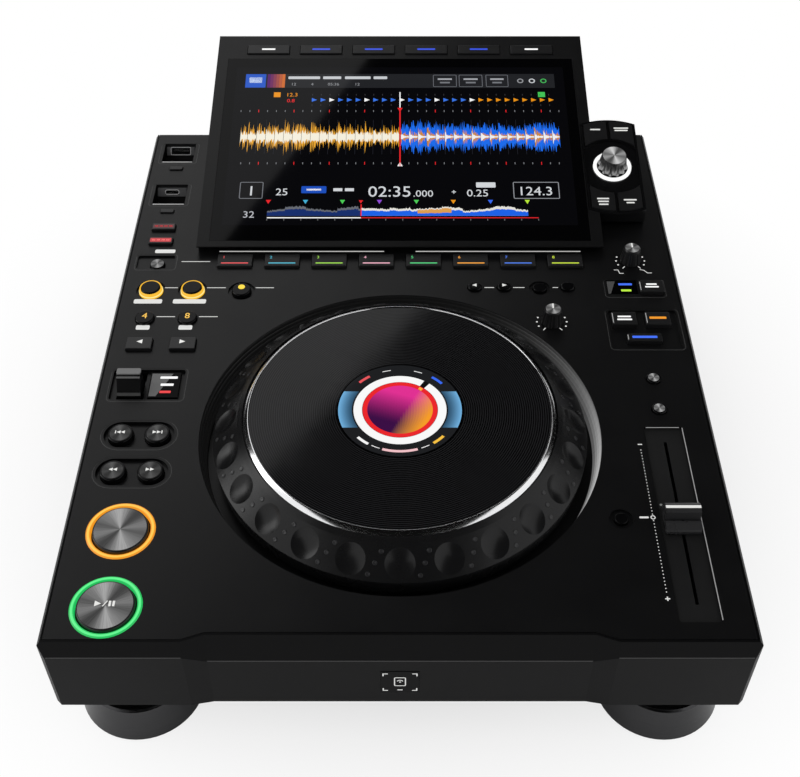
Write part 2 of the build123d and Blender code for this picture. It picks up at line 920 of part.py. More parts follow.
def lever_lugs(panel):
    """The deck with the two lugs that carry the lever's pins, one at each side of the lever."""
    x, y = lever_centre()
    pivot_z = deck - lever_pivot_drop
    for side in (-1, 1):
        inner = x + side * (lever_width / 2 + lever_lug_gap)
        outer = inner + side * lever_lug_thickness
        front, back = y - lever_lug_half, y + lever_lug_half
        panel += span_box(inner, outer, front, back, pivot_z - lever_lug_below, deck - panel_thickness + weld)
        panel += span_box(inner, outer + side * lever_lug_flare, front, back,
                          deck - panel_thickness - lever_lug_flare, deck - recess_depth - weld)
        hole = Cylinder(lever_pin_radius + lever_pin_clearance, lever_lug_thickness + 2 * cut_past)
        panel -= Pos((inner + outer) / 2, y, pivot_z) * Rot(0, 90, 0) * hole
    return panel


def top_panel():
    """The deck: a plate with openings for every control, and the well the platter turns in."""
    below, above = deck - panel_thickness - cut_past, deck + cut_past
    floor = deck - well_depth
    inside_half = side_x - side_wall - panel_gap
    outline = Polygon(*cavity_outline(inside_half, case_back, panel_gap), align=None)
    panel = Pos(0, 0, deck - panel_thickness) * extrude(outline, panel_thickness, dir=(0, 0, 1))
    panel += turned([(well_radius + well_wall, deck - panel_thickness),
                     (well_radius + well_wall, deck - well_wall_lip),
                     (well_floor_radius + well_wall, floor - well_wall), (0, floor - well_wall),
                     (0, deck - panel_thickness)], 0, jog_y)
    panel -= turned([(0, above), (well_radius, above), (well_radius, deck - well_lip),
                     (well_floor_radius, floor), (0, floor)], 0, jog_y)
    panel -= post(0, jog_y, spindle_bore, floor - well_wall - cut_past, floor + cut_past)
    for index, distance in enumerate(usb_from_front):
        y = from_front(distance)
        panel = usb_recess(panel, y)
        width, height = usb_shell_size(index)
        opening = Box(width + 2 * usb_shell_gap, height + 2 * usb_shell_gap, 2 * usb_shell_depth)
        panel -= usb_frame(y, usb_bezel_along) * Pos(0, 0, -usb_shell_depth) * opening
    for x, y, width, length, depth in sockets:
        panel -= oval(x, y, width, length, deck - depth, above)
    for x, y, width, length, depth in trays:
        panel -= block(x, y, width, length, deck - depth, above, tray_corner)
    for key in all_keys:
        panel -= key.hole()
    for distance in (cue_from_front, play_from_front):
        panel -= post(cue_x, from_front(distance), transport_ring_outer + transport_ring_gap,
                      deck - transport_ring_depth, above)
    for x, y in dial_places():
        panel -= post(x, y, dial_stem_radius + dial_stem_clearance, below, above)
    panel -= fader_slot(below, above)
    panel -= block(from_right(mode_window_in), from_front(mode_window_from_front),
                   mode_window_width + 2 * window_gap, mode_window_depth + 2 * window_gap,
                   deck - window_thickness - window_sink, above)
    lever_x, lever_y = lever_centre()
    half = lever_width / 2 + lever_opening_margin
    end = lever_frame_depth / 2 - lever_opening_end
    panel -= span_box(lever_x - half, lever_x + half, lever_y - end, lever_y + end, below, above)
    return lever_lugs(panel)


def dial_places():
    """Centres of the two small dials."""
    return [(from_right(speed_dial_in), from_front(speed_dial_from_front)),
            (jog_dial_x, from_front(jog_dial_from_front))]


# ================================================================ platter
def jog_ring():
    """The platter's body: a finger ring with dimples, a web, and a hub that turns on the spindle."""
    top = deck + jog_cone_height
    bore = spindle_radius + spindle_clearance
    seat = trim_ring_outer + jog_lip_gap
    tunnel = jog_hole_radius + jog_tunnel_wall
    inner = jog_cone_radius - jog_wall
    profile = [
        (bore, deck - jog_hub_drop), (jog_hub_radius, deck - jog_hub_drop), (jog_hub_radius, deck),
        (tunnel, deck), (tunnel, top - jog_web), (inner, top - jog_web),
        (jog_skirt_radius - jog_wall, deck - jog_skirt_step),
        (jog_skirt_radius - jog_wall, deck - jog_skirt_drop), (jog_skirt_radius, deck - jog_skirt_drop),
        (jog_outer_radius, deck - jog_edge), (jog_outer_radius, deck), (jog_cone_radius, top),
        (seat, top + jog_lip_height), (seat, top), (jog_hole_radius, top),
        (jog_hole_radius, deck + jog_hub_top), (bore, deck + jog_hub_top),
    ]
    ring = turned(profile, 0, jog_y)
    rise = jog_cone_height
    run = jog_outer_radius - jog_cone_radius
    slant = (rise**2 + run**2) ** 0.5
    ball_radius = (dimple_radius**2 + dimple_depth**2) / (2 * dimple_depth)
    lift = ball_radius - dimple_depth
    mid_radius = (jog_outer_radius + jog_cone_radius) / 2 + lift * rise / slant
    mid_z = deck + rise / 2 + lift * run / slant
    for index in range(dimple_count):
        angle = radians(-90 + index * 360 / dimple_count)
        ring -= Pos(mid_radius * cos(angle), jog_y + mid_radius * sin(angle), mid_z) * Sphere(ball_radius)
    return ring


def trim_ring():
    """The bright ring round the platter's top."""
    low = deck + jog_cone_height
    high = low + trim_ring_height
    return turned([(trim_ring_inner, low), (trim_ring_outer, low), (trim_ring_outer, high - trim_ring_bevel),
                   (trim_ring_outer - trim_ring_bevel, high), (trim_ring_inner, high)], 0, jog_y)


def jog_disc():
    """The platter's top plate."""
    low = deck + jog_cone_height
    return tube(0, jog_y, jog_disc_outer, jog_disc_inner, low, low + jog_disc_height)


def jog_bearing():
    """The fixed hollow spindle: a flange on the well's floor and a post that carries the display."""
    floor = deck - well_depth
    spindle = post(0, jog_y, spindle_flange_radius, floor, floor + spindle_flange_height)
    spindle += post(0, jog_y, spindle_radius, floor, deck + spindle_top)
    head = deck + spindle_top
    spindle += post(0, jog_y, spindle_head_radius, head, head + spindle_head_height)
    return spindle - post(0, jog_y, spindle_bore, floor - cut_past, head + spindle_head_height + cut_past)


def jog_display():
    """The round display, still at the platter's centre while the platter turns round it."""
    low = deck + spindle_top + spindle_head_height
    return post(0, jog_y, display_radius, low, low + display_thickness)


# ================================================================ screen
def housing():
    """The raised wedge that carries the screen and overhangs the back of the case."""
    top_y = back_y - housing_back_edge
    half = housing_width / 2
    back_top = deck + screen_rise
    section = [(housing_front + undercut_depth, deck), (housing_front, deck + undercut_height),
               (housing_front, deck + housing_front_height), (top_y, back_top),
               (back_y, back_top - housing_back_bevel), (back_y, back_top - housing_back_height),
               (case_back, deck)]
    shell = ridge(-half, half, section)
    start = housing_front + housing_hollow_from_front
    ceiling = deck + housing_front_height - housing_top_wall
    rate = sin(slope) / cos(slope)
    front_in = case_back - housing_hollow_floor_in
    back_in = back_y - housing_wall - housing_hollow_floor_in
    overhang = (screen_rise - housing_back_height) / (back_y - case_back)
    hollow = [(start, deck - cut_past), (front_in, deck - cut_past), (front_in, deck + housing_wall),
              (back_in, deck + housing_wall + (back_in - front_in) * overhang),
              (back_in, ceiling + (back_in - housing_front) * rate),
              (start, ceiling + (start - housing_front) * rate)]
    shell -= ridge(-half + housing_wall, half - housing_wall - housing_hollow_side, hollow)
    glass_middle = glass_from_edge + glass_length / 2
    shell -= slope_pocket(0, glass_middle, glass_width + 2 * glass_gap, glass_length + 2 * glass_gap,
                          glass_thickness)
    shell -= slope_pocket(0, glass_middle, screen_width + 2 * screen_gap, screen_length + 2 * screen_gap,
                          glass_thickness + screen_thickness + screen_behind_gap)
    for key in range(menu_key_count):
        shell -= menu_key(key, slope_pocket_depth, key_gap, cut_past)
    return shell - pod_outline(pod_gap, deck - cut_past, back_top)


def slope_pocket(x, along, width, length, depth):
    """The space cut for a rectangular pocket in the housing's sloping face."""
    lift = slope_cutter / 2 - depth
    return on_slope(x, along) * Pos(0, 0, lift) * Box(width, length, slope_cutter)


def menu_key(index, depth, grow, height):
    """One menu key, or its pocket when grown, set square to the sloping face."""
    x = (index - (menu_key_count - 1) / 2) * menu_key_pitch
    body = Box(menu_key_width + 2 * grow, menu_key_depth + 2 * grow, depth + height)
    if grow == 0:
        body = fillet(body.edges().group_by(Axis.Z)[-1], block_edge)
    return on_slope(x, menu_key_from_edge) * Pos(0, 0, (height - depth) / 2) * body


def screen_glass():
    """The cover glass, let into the sloping face."""
    middle = glass_from_edge + glass_length / 2
    return on_slope(0, middle, -glass_thickness / 2) * Box(glass_width, glass_length, glass_thickness)


def screen_module():
    """The display panel behind the glass."""
    middle = glass_from_edge + glass_length / 2
    depth = glass_thickness + screen_thickness / 2
    return on_slope(0, middle, -depth) * Box(screen_width, screen_length, screen_thickness)


# ================================================================ selector pod
def pod_outline(grow, z0, z1):
    """The pod's plan between two heights: curved ends, rounded corners and an undercut front."""
    near = housing_front + pod_from_edge * cos(slope) - grow
    far = housing_front + (pod_from_edge + pod_length) * cos(slope) + grow
    wide = 2 * (pod_half_width + grow)
    body = block(pod_centre_x, (near + far) / 2, wide, far - near, z0, z1, pod_corner)
    reach = pod_end_radius + grow
    for middle in (near + reach, far - reach):
        body &= post(pod_centre_x, middle, reach, z0, z1)
    lean = undercut_depth * (undercut_height + cut_past) / undercut_height
    wedge = [(near - cut_past, deck + undercut_height), (near, deck + undercut_height),
             (near + lean, deck - cut_past), (near - cut_past, deck - cut_past)]
    return body - ridge(pod_centre_x - wide, pod_centre_x + wide, wedge)


def dish(grow, depth, height):
    """The round dish under the selector, cut flat at both sides."""
    flats = Box(2 * (dish_half_width + grow), 2 * (dish_radius + grow) + cut_past, depth + height)
    trimmed = Cylinder(dish_radius + grow, depth + height) & flats
    return on_slope(pod_centre_x, dish_from_edge) * Pos(0, 0, (height - depth) / 2) * trimmed


def selector_key(side, end, grow, depth, height):
    """One of the four keys at the pod's ends, with an edge that follows the dish."""
    length = pod_length / 2
    half = (pod_key_outer - pod_key_inner) / 2
    x = pod_centre_x + side * (pod_key_inner + half)
    inner = dish_from_edge
    outer = inner + end * (length - pod_key_margin)
    body = Box(2 * (half + grow), abs(outer - inner) + 2 * grow, depth + height)
    key = on_slope(x, (inner + outer) / 2) * Pos(0, 0, (height - depth) / 2) * body
    ring = Cylinder(dish_radius + pod_key_gap_to_dish - grow, screen_rise)
    key -= on_slope(pod_centre_x, dish_from_edge) * ring
    return key & pod_outline(grow - pod_key_margin, deck, deck + housing_length)


def selector_pod():
    """The raised pod beside the screen that carries the selector and four keys."""
    top = deck + screen_rise
    pod = pod_outline(0, deck, top)
    above = Box(2 * body_width, 2 * housing_length, screen_rise)
    pod -= on_slope(0, dish_from_edge, screen_rise / 2) * above
    pod -= dish(0, dish_depth, slope_pocket_above)
    for side in (-1, 1):
        for end in (-1, 1):
            pod -= selector_key(side, end, key_gap, slope_pocket_depth, slope_pocket_above)
    bore = Cylinder(shaft_radius + shaft_clearance, shaft_depth)
    return pod - on_slope(pod_centre_x, dish_from_edge, -shaft_depth / 2) * bore


def selector_keys():
    """The four keys on the pod."""
    corners = [(side, end) for side in (-1, 1) for end in (-1, 1)]
    keys = [selector_key(*corner, 0, slope_key_body, selector_key_height) for corner in corners]
    return Compound(children=keys)


def selector_shaft():
    """The selector's shaft, which slides in the pod when the knob is pressed."""
    bottom = -shaft_depth + shaft_floor_gap
    top = knob_lift - dish_depth + knob_bore_depth - shaft_top_gap
    return on_slope(pod_centre_x, dish_from_edge, (top + bottom) / 2) * Cylinder(shaft_radius, top - bottom)


def selector_knob():
    """The fluted selector knob, which turns on its shaft."""
    bottom = knob_lift - dish_depth
    base = on_slope(pod_centre_x, dish_from_edge, bottom)
    knob = Cone(knob_base_radius, knob_top_radius, knob_height, align=(Align.CENTER, Align.CENTER, Align.MIN))
    tilt = degrees(atan2(knob_base_radius - knob_top_radius, knob_height))
    flute = Cylinder(knob_flute_radius, 2 * knob_height * knob_flute_share)
    for cutter in flutes(knob_flutes, knob_base_radius + knob_flute_reach, tilt, flute):
        knob -= cutter
    knob -= Cylinder(shaft_radius + shaft_clearance, 2 * knob_bore_depth)
    return base * knob


# ================================================================ dials, lever, fader
def dial(x, y):
    """A small dial with a stem through the deck and a flange below it."""
    base = deck + dial_lift
    top = base + dial_height
    knob = turned([(0, base), (dial_radius, base), (dial_radius, base + dial_skirt),
                   (dial_top_radius, top - dial_bevel), (dial_top_radius - dial_bevel, top), (0, top)], x, y)
    tilt = degrees(atan2(dial_radius - dial_top_radius, dial_height))
    flute = Cylinder(dial_flute_radius, 2 * dial_height * dial_flute_share)
    for cutter in flutes(dial_flutes, dial_radius + dial_flute_reach, tilt, flute):
        knob -= Pos(x, y, base) * cutter
    knob += post(x, y, dial_stem_radius, deck - dial_stem_length, base + weld)
    flange_top = deck - panel_thickness - key_flange_gap
    return knob + post(x, y, dial_flange_radius, flange_top - dial_flange_thickness, flange_top)


def direction_lever():
    """The direction lever: a paddle through the deck, rocking on two stub pins below it."""
    x, y = lever_centre()
    half = lever_width / 2
    pivot_z = deck - lever_pivot_drop
    paddle = ridge(x - half, x + half, [
        (y + lever_foot_front, deck - lever_foot_low), (y + lever_foot_front, deck + lever_foot_high),
        (y + lever_cap_front, deck + lever_height), (y + lever_cap_back, deck + lever_height),
        (y + lever_foot_back, deck - lever_foot_low), (y + lever_hub_radius, pivot_z),
        (y - lever_hub_radius, pivot_z)])
    across = Rot(0, 90, 0)
    paddle += Pos(x, y, pivot_z) * across * Cylinder(lever_hub_radius, lever_width)
    reach = lever_width + 2 * (lever_lug_gap + lever_pin_length)
    return paddle + Pos(x, y, pivot_z) * across * Cylinder(lever_pin_radius, reach)


def fader_cap():
    """The tempo fader's cap on its flat stem."""
    x, y = from_right(fader_in), from_front(fader_from_front)
    base = deck - fader_recess_depth + fader_cap_lift
    profile = [(-fader_cap_front, base - deck), (-fader_cap_front, fader_cap_front_height),
               (-fader_ramp_front, fader_ramp_height), (-fader_ridge_front, fader_ridge_height),
               (-fader_ridge_back, fader_ridge_height), (-fader_valley_front, fader_valley_height),
               (-fader_valley_back, fader_valley_height), (-fader_grip_half, fader_grip_shoulder),
               (-fader_grip_top_half, fader_grip_height), (fader_grip_top_half, fader_grip_height),
               (fader_grip_half, fader_grip_shoulder), (fader_valley_back, fader_valley_height),
               (fader_cap_back, fader_valley_height), (fader_cap_back, base - deck)]
    points = [(y + along, deck + up) for along, up in profile]
    cap = ridge(x - fader_cap_width / 2, x + fader_cap_width / 2, points)
    return cap + block(x, y, fader_stem_width, fader_stem_length, deck - fader_stem_depth, base + weld)


def fader_module():
    """The slide potentiometer under the deck."""
    x, y = from_right(fader_in), from_front(fader_from_front)
    top = deck - panel_thickness
    length = fader_recess_length + 2 * fader_body_end
    body = block(x, y, fader_body_width, length, top - fader_body_depth, top)
    travel = 2 * (fader_travel + fader_channel_end) + fader_stem_length
    floor = top - fader_body_depth + fader_channel_floor
    return body - block(x, y, fader_channel_width, travel, floor, top + cut_past)


# ================================================================ media sockets on the deck
def usb_mouth(index):
    """Width, height and tongue of the media socket in one recess."""
    return ((*usb_a_mouth, usb_a_tongue), (*usb_c_mouth, usb_c_tongue))[index]


def usb_shell_size(index):
    """Outer width and height of one media socket's shell."""
    width, height, _ = usb_mouth(index)
    return width + 2 * usb_shell_wall, height + 2 * usb_shell_wall


def usb_bezels():
    """The plates round the two media sockets, on the sloping wall of each recess."""
    group = []
    for index, distance in enumerate(usb_from_front):
        width, height = usb_shell_size(index)
        plate = Box(usb_bezel_width, usb_bezel_length, usb_bezel_thickness)
        plate -= Box(width + 2 * usb_plate_gap, height + 2 * usb_plate_gap, 2 * usb_bezel_thickness)
        group.append(usb_frame(from_front(distance), usb_bezel_along, usb_bezel_thickness / 2) * plate)
    return Compound(children=group)


def usb_ports():
    """The two media sockets: a metal shell with a tongue in each."""
    group = []
    for index, distance in enumerate(usb_from_front):
        width, height, tongue = usb_mouth(index)
        shell = Box(*usb_shell_size(index), usb_shell_depth)
        shell -= Pos(0, 0, usb_shell_wall) * Box(width, height, usb_shell_depth)
        length = usb_shell_depth - usb_shell_floor
        rise = usb_a_tongue_lift * height if tongue == usb_a_tongue else 0
        blade = Box(width * usb_tongue_share, tongue, length)
        shell += Pos(0, rise, (length - usb_shell_depth) / 2) * blade
        lift = usb_bezel_thickness - usb_shell_depth / 2
        group.append(usb_frame(from_front(distance), usb_bezel_along, lift) * shell)
    return Compound(children=group)


# ================================================================ lights and windows
def light_rings():
    """Light rings round the transport keys, the loop keys and the selector."""
    group = []
    for distance in (cue_from_front, play_from_front):
        group.append(tube(cue_x, from_front(distance), transport_ring_outer, transport_ring_inner,
                          deck - transport_ring_depth, deck + transport_ring_height))
    for name in ("loop_in_key", "loop_out_key"):
        key = deck_keys[name][0]
        inner = key.width / 2 + loop_ring_gap
        group.append(tube(key.x, key.y, inner + loop_ring_width, inner, deck - socket_depth,
                          deck + loop_ring_height))
    base = on_slope(pod_centre_x, dish_from_edge, ring_height / 2 - dish_depth)
    group.append(base * (Cylinder(ring_outer, ring_height) - Cylinder(ring_inner, 2 * ring_height)))
    return Compound(children=group)


def trim_windows():
    """Glossy windows: the badge window on the front, and those by the lever and the mode key."""
    frame_x, frame_y = lever_frame()
    badge_y = front_y + centre_setback - badge_proud
    badge_z = deck - badge_drop - badge_height / 2
    return Compound(children=[
        span_box(-badge_width / 2, badge_width / 2, badge_y, badge_y + badge_thickness,
                 badge_z - badge_height / 2, badge_z + badge_height / 2),
        block(frame_x + lever_window_offset, frame_y, lever_window_width, lever_window_depth,
              deck - recess_depth, deck - window_sink),
        block(from_right(mode_window_in), from_front(mode_window_from_front), mode_window_width,
              mode_window_depth, deck - window_thickness - window_sink, deck - window_sink),
    ])


# ================================================================ inside
def key_board():
    """The board under the keys: a plate round the well, with a switch below each key."""
    top = deck - board_drop
    low = top - board_thickness
    under, over = low - cut_past, top + cut_past
    side = side_x - side_wall - key_board_side
    board = span_box(-side, side, from_front(key_board_front), from_front(key_board_back), low, top)
    board -= post(0, jog_y, well_radius + well_wall + key_board_well_gap, under, over)
    board -= span_box(left + key_board_arm, right - key_board_arm, front_y, jog_y, under, over)
    for x, y in boss_places:
        board -= post(x, y, boss_radius + boss_gap, under, over)
    board -= block(from_right(fader_in), from_front(fader_from_front), fader_body_width + 2 * fader_board_gap,
                   fader_recess_length + 2 * (fader_body_end + fader_board_gap), under, over)
    lever_x, lever_y = lever_centre()
    board -= block(lever_x, lever_y, lever_width + 2 * lever_board_gap, lever_board_length, under, over)
    for key in boarded_keys:
        board += key.switch()
    for x, y in board_posts():
        board += post(x, y, board_post_radius, top - weld, deck - panel_thickness)
    return board


def board_posts():
    """Where the key board is held up against the deck."""
    return [(side * (side_x - board_post_in), from_front(row)) for row in board_post_rows for side in (-1, 1)]


def main_board():
    """The main board on its standoffs, with its larger parts."""
    low = case_bottom + floor_wall + standoff_height
    top = low + main_board_thickness
    root = top - weld
    y = main_board_back - main_board_length / 2
    board = block(0, y, main_board_width, main_board_length, low, top)
    board += block(processor_place[0], y + processor_place[1], processor_size, processor_size, root,
                   top + processor_height)
    board += block(memory_chip_place[0], y + memory_chip_place[1], memory_chip_size, memory_chip_size, root,
                   top + memory_chip_height)
    board += block(network_chip_place[0], y + network_chip_place[1], *network_chip_size, root,
                   top + network_chip_height)
    for index in range(capacitor_count):
        row = y + capacitor_start + index * capacitor_pitch
        board += post(capacitor_x, row, capacitor_radius, root, top + capacitor_height)
    return board


def power_supply():
    """The power supply in its case, on the floor under the left of the well."""
    low = case_bottom + floor_wall
    y = from_front(supply_from_front)
    return block(supply_x, y, supply_width, supply_length, low, low + supply_height, supply_corner)


def rear_panel():
    """The metal plate across the back, with a cut-out for each socket."""
    inside_half = side_x - side_wall - rear_panel_side_gap
    low = case_bottom + floor_wall
    high = deck - panel_thickness - rear_panel_top_gap
    plate = span_box(-inside_half, inside_half, case_back - rear_panel_thickness, case_back, low, high)
    through = 2 * (rear_panel_thickness + cut_past)
    for x in jack_places():
        plate -= across_y(x, jack_radius + socket_gap, through, case_back)
    inlet = (power_body[0] + 2 * socket_gap, power_body[1] + 2 * socket_gap)
    for x, mouth in ((lan_x, lan_mouth), (host_x, host_mouth), (power_x, inlet)):
        plate -= Pos(x, case_back, jack_z) * Box(mouth[0], through, mouth[1])
    return plate


def jack_places():
    """Places of the round sockets along the back."""
    return (jack_x, jack_x + jack_pitch, digital_jack_x)


def across_y(x, radius, length, y):
    """A cylinder along Y at the height of the rear sockets, centred at y."""
    return Pos(x, y, jack_z) * Rot(90, 0, 0) * Cylinder(radius, length)


def rear_sockets():
    """Round jacks, the network socket and the host socket behind the rear panel."""
    group = []
    inner_face = case_back - rear_panel_thickness
    for x in jack_places():
        body = Pos(x, inner_face - jack_base / 2, jack_z) * Box(jack_base, jack_base, jack_base)
        sleeve = across_y(x, jack_radius, jack_length, case_back + jack_length / 2)
        neck = rear_panel_thickness + 2 * jack_neck_grip
        sleeve += across_y(x, jack_neck_radius, neck, inner_face + rear_panel_thickness / 2)
        bore_length = jack_length + jack_bore_depth
        bore = across_y(x, jack_bore, bore_length, case_back + jack_length + cut_past - bore_length / 2)
        group.append(body + sleeve - bore)
    for x, mouth, body in ((lan_x, lan_mouth, lan_body), (host_x, host_mouth, host_body)):
        shell = Pos(x, inner_face - lan_depth / 2, jack_z) * Box(body[0], lan_depth, body[1])
        cavity = Box(mouth[0], lan_cavity + 2 * mouth_past, mouth[1])
        shell -= Pos(x, inner_face - lan_cavity / 2, jack_z) * cavity
        if mouth is host_mouth:
            tongue = Box(host_tongue[0], lan_cavity - cut_past, host_tongue[1])
            shell += Pos(x, inner_face - lan_cavity / 2 - cut_past, jack_z) * tongue
        group.append(shell)
    return Compound(children=group)


def power_inlet():
    """The mains inlet: a flange on the rear panel, a shrouded recess and three blades."""
    back = case_back + power_flange_thickness
    inlet = Pos(power_x, case_back + power_flange_thickness / 2, jack_z) * Box(
        power_flange[0], power_flange_thickness, power_flange[1])
    inlet += Pos(power_x, back - power_depth / 2, jack_z) * Box(power_body[0], power_depth, power_body[1])
    recess = Box(power_mouth[0], power_cavity + 2 * mouth_past, power_mouth[1])
    inlet -= Pos(power_x, back - power_cavity / 2, jack_z) * recess
    floor = back - power_cavity
    blade = Box(power_pin[0], power_pin_length + power_pin_root, power_pin[1])
    places = [(-power_pin_pitch, -power_pin_drop), (power_pin_pitch, -power_pin_drop), (0, power_earth_rise)]
    for dx, dz in places:
        inlet += Pos(power_x + dx, floor + (power_pin_length - power_pin_root) / 2, jack_z + dz) * blade
    for side in (-1, 1):
        screw_x = power_x + side * power_screw_pitch / 2
        inlet -= across_y(screw_x, power_screw_radius, 2 * power_screw_dimple, back)
    return inlet


# ================================================================ writing
def main():
    """Build every sub-part and write it."""
    os.makedirs("parts", exist_ok=True)
    write("lower_case", lower_case())
    write("case_screws", screws())
    write("feet", feet())
    write("foot_pads", foot_pads())
    write("top_panel", top_panel())
    write("rear_panel", rear_panel())
    write("rear_sockets", rear_sockets())
    write("power_inlet", power_inlet())
    write("screen_housing", housing())
    write("screen_glass", screen_glass())
    write("screen_module", screen_module())
    write("selector_pod", selector_pod())
    write("selector_keys", selector_keys())
    write("selector_shaft", selector_shaft())
    write("selector_knob", selector_knob())
    write("jog_ring", jog_ring())
    write("jog_trim_ring", trim_ring())
    write("jog_disc", jog_disc())
    write("jog_bearing", jog_bearing())
    write("jog_display", jog_display())
    write("main_board", main_board())
    write("power_supply", power_supply())
    write("key_board", key_board())
    write("fader_module", fader_module())
    write("fader_cap", fader_cap())
    write("direction_lever", direction_lever())
    write("usb_bezels", usb_bezels())
    write("usb_ports", usb_ports())
    write("light_rings", light_rings())
    write("trim_windows", trim_windows())
    write("menu_keys", Compound(children=[
        menu_key(index, slope_key_body, 0, menu_key_height) for index in range(menu_key_count)]))
    speed_place, jog_place = dial_places()
    write("speed_adjust_knob", dial(*speed_place))
    write("jog_adjust_knob", dial(*jog_place))
    for name, keys in deck_keys.items():
        solids = [key.solid() for key in keys]
        write(name, solids[0] if len(solids) == 1 else Compound(children=solids))


main()
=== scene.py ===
"""Looks of a tabletop media player: finishes, printed marks, lit keys, screen content and a studio.

Lengths in the dataclasses are in millimetres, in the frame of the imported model. Each mesh is
written in metres, with its object at the origin.
"""

from __future__ import annotations

import logging
from dataclasses import dataclass, field
from enum import Enum
from typing import Callable, Sequence

import bpy
import numpy as np
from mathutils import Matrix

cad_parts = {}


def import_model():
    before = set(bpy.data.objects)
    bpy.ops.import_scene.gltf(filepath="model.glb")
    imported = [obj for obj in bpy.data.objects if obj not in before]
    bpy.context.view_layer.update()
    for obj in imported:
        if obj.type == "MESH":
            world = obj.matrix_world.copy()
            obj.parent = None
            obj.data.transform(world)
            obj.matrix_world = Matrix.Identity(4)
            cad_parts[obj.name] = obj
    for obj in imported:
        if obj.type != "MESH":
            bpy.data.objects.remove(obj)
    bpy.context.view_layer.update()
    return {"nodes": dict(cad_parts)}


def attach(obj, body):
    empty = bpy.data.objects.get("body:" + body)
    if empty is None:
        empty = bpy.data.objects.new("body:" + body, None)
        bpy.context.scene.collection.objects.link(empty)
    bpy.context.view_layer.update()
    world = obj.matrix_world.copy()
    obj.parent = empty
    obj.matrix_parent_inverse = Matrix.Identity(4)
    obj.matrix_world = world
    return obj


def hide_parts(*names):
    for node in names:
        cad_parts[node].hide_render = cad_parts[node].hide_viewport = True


LOG = logging.getLogger("player")
MM = 0.001
Colour = tuple[float, float, float]
Place = tuple[float, float, float]
Pair = tuple[float, float]
Rows = tuple[tuple[float, ...], ...]
Points = np.ndarray
Material = bpy.types.Material
Node, Socket, Tree = bpy.types.Node, bpy.types.NodeSocket, bpy.types.NodeTree

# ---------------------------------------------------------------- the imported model's own sizes
DECK_Z = 87.0
JOG_Y = -94.9
HOUSING_Y = 47.492
HOUSING_Z = 92.7
SLOPE_SIN = 0.19989
SLOPE_COS = 0.97982
WHITE: Colour = (0.8, 0.8, 0.78)


class Body(Enum):
    """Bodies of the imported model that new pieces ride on."""

    BASE = "base"
    JOG = "jog_wheel"
    FADER = "tempo_fader"
    SELECTOR = "selector_dial"
    JOG_ADJUST = "jog_adjust"
    SPEED_ADJUST = "speed_adjust"
    LEVER = "direction_switch"
    MENU = "menu_key_set"
    SELECTOR_KEYS = "selector_key_set"


class Texture(Enum):
    """Surface textures that a finish may carry."""

    GRAIN = "moulded grain"
    SMOOTH = "smooth"
    RINGS = "rings about an upright axis"
    LEVELS = "level turned lines"
    SPUN = "streaks from a centre"
    BRUSHED = "straight brushing"


# ================================================================ mesh helpers
@dataclass(frozen=True)
class Plane:
    """A flat frame in space: an origin and two unit directions along the face.

    A point (a, b) lifted by h lies at origin + a * across + b * along + h * (across x along).
    """

    origin: Place
    across: Place = (1.0, 0.0, 0.0)
    along: Place = (0.0, 1.0, 0.0)

    def place(self, flat: Points, lift: float | Points) -> Points:
        """Carry flat points into space.

        Args:
            flat: An (n, 2) array of positions on the face.
            lift: Height above the face, one value or one for each point.

        Returns:
            An (n, 3) array.
        """
        across, along = np.array(self.across), np.array(self.along)
        normal = np.cross(across, along)
        height = np.broadcast_to(np.asarray(lift, dtype=float), (len(flat),))
        return (np.array(self.origin) + flat[:, :1] * across + flat[:, 1:2] * along
                + height[:, None] * normal)


DECK = Plane((0.0, 0.0, DECK_Z))
SLOPE = Plane((0.0, HOUSING_Y, HOUSING_Z), along=(0.0, SLOPE_COS, SLOPE_SIN))


def strip_faces(rows: int, columns: int, wrap_rows: bool, wrap_columns: bool) -> Points:
    """Quads of a two-parameter grid whose vertex (i, j) has the number i * columns + j.

    Args:
        rows: Number of vertices along the first parameter.
        columns: Number of vertices along the second parameter.
        wrap_rows: Whether the last row joins the first.
        wrap_columns: Whether the last column joins the first.

    Returns:
        An (m, 4) array of vertex numbers.
    """
    i = np.arange(rows if wrap_rows else rows - 1)[:, None]
    j = np.arange(columns if wrap_columns else columns - 1)[None, :]
    down, right = (i + 1) % rows, (j + 1) % columns
    quads = [i * columns + j, i * columns + right, down * columns + right, down * columns + j]
    return np.stack([np.broadcast_to(q, (len(i), j.shape[1])) for q in quads], axis=-1).reshape(-1, 4)


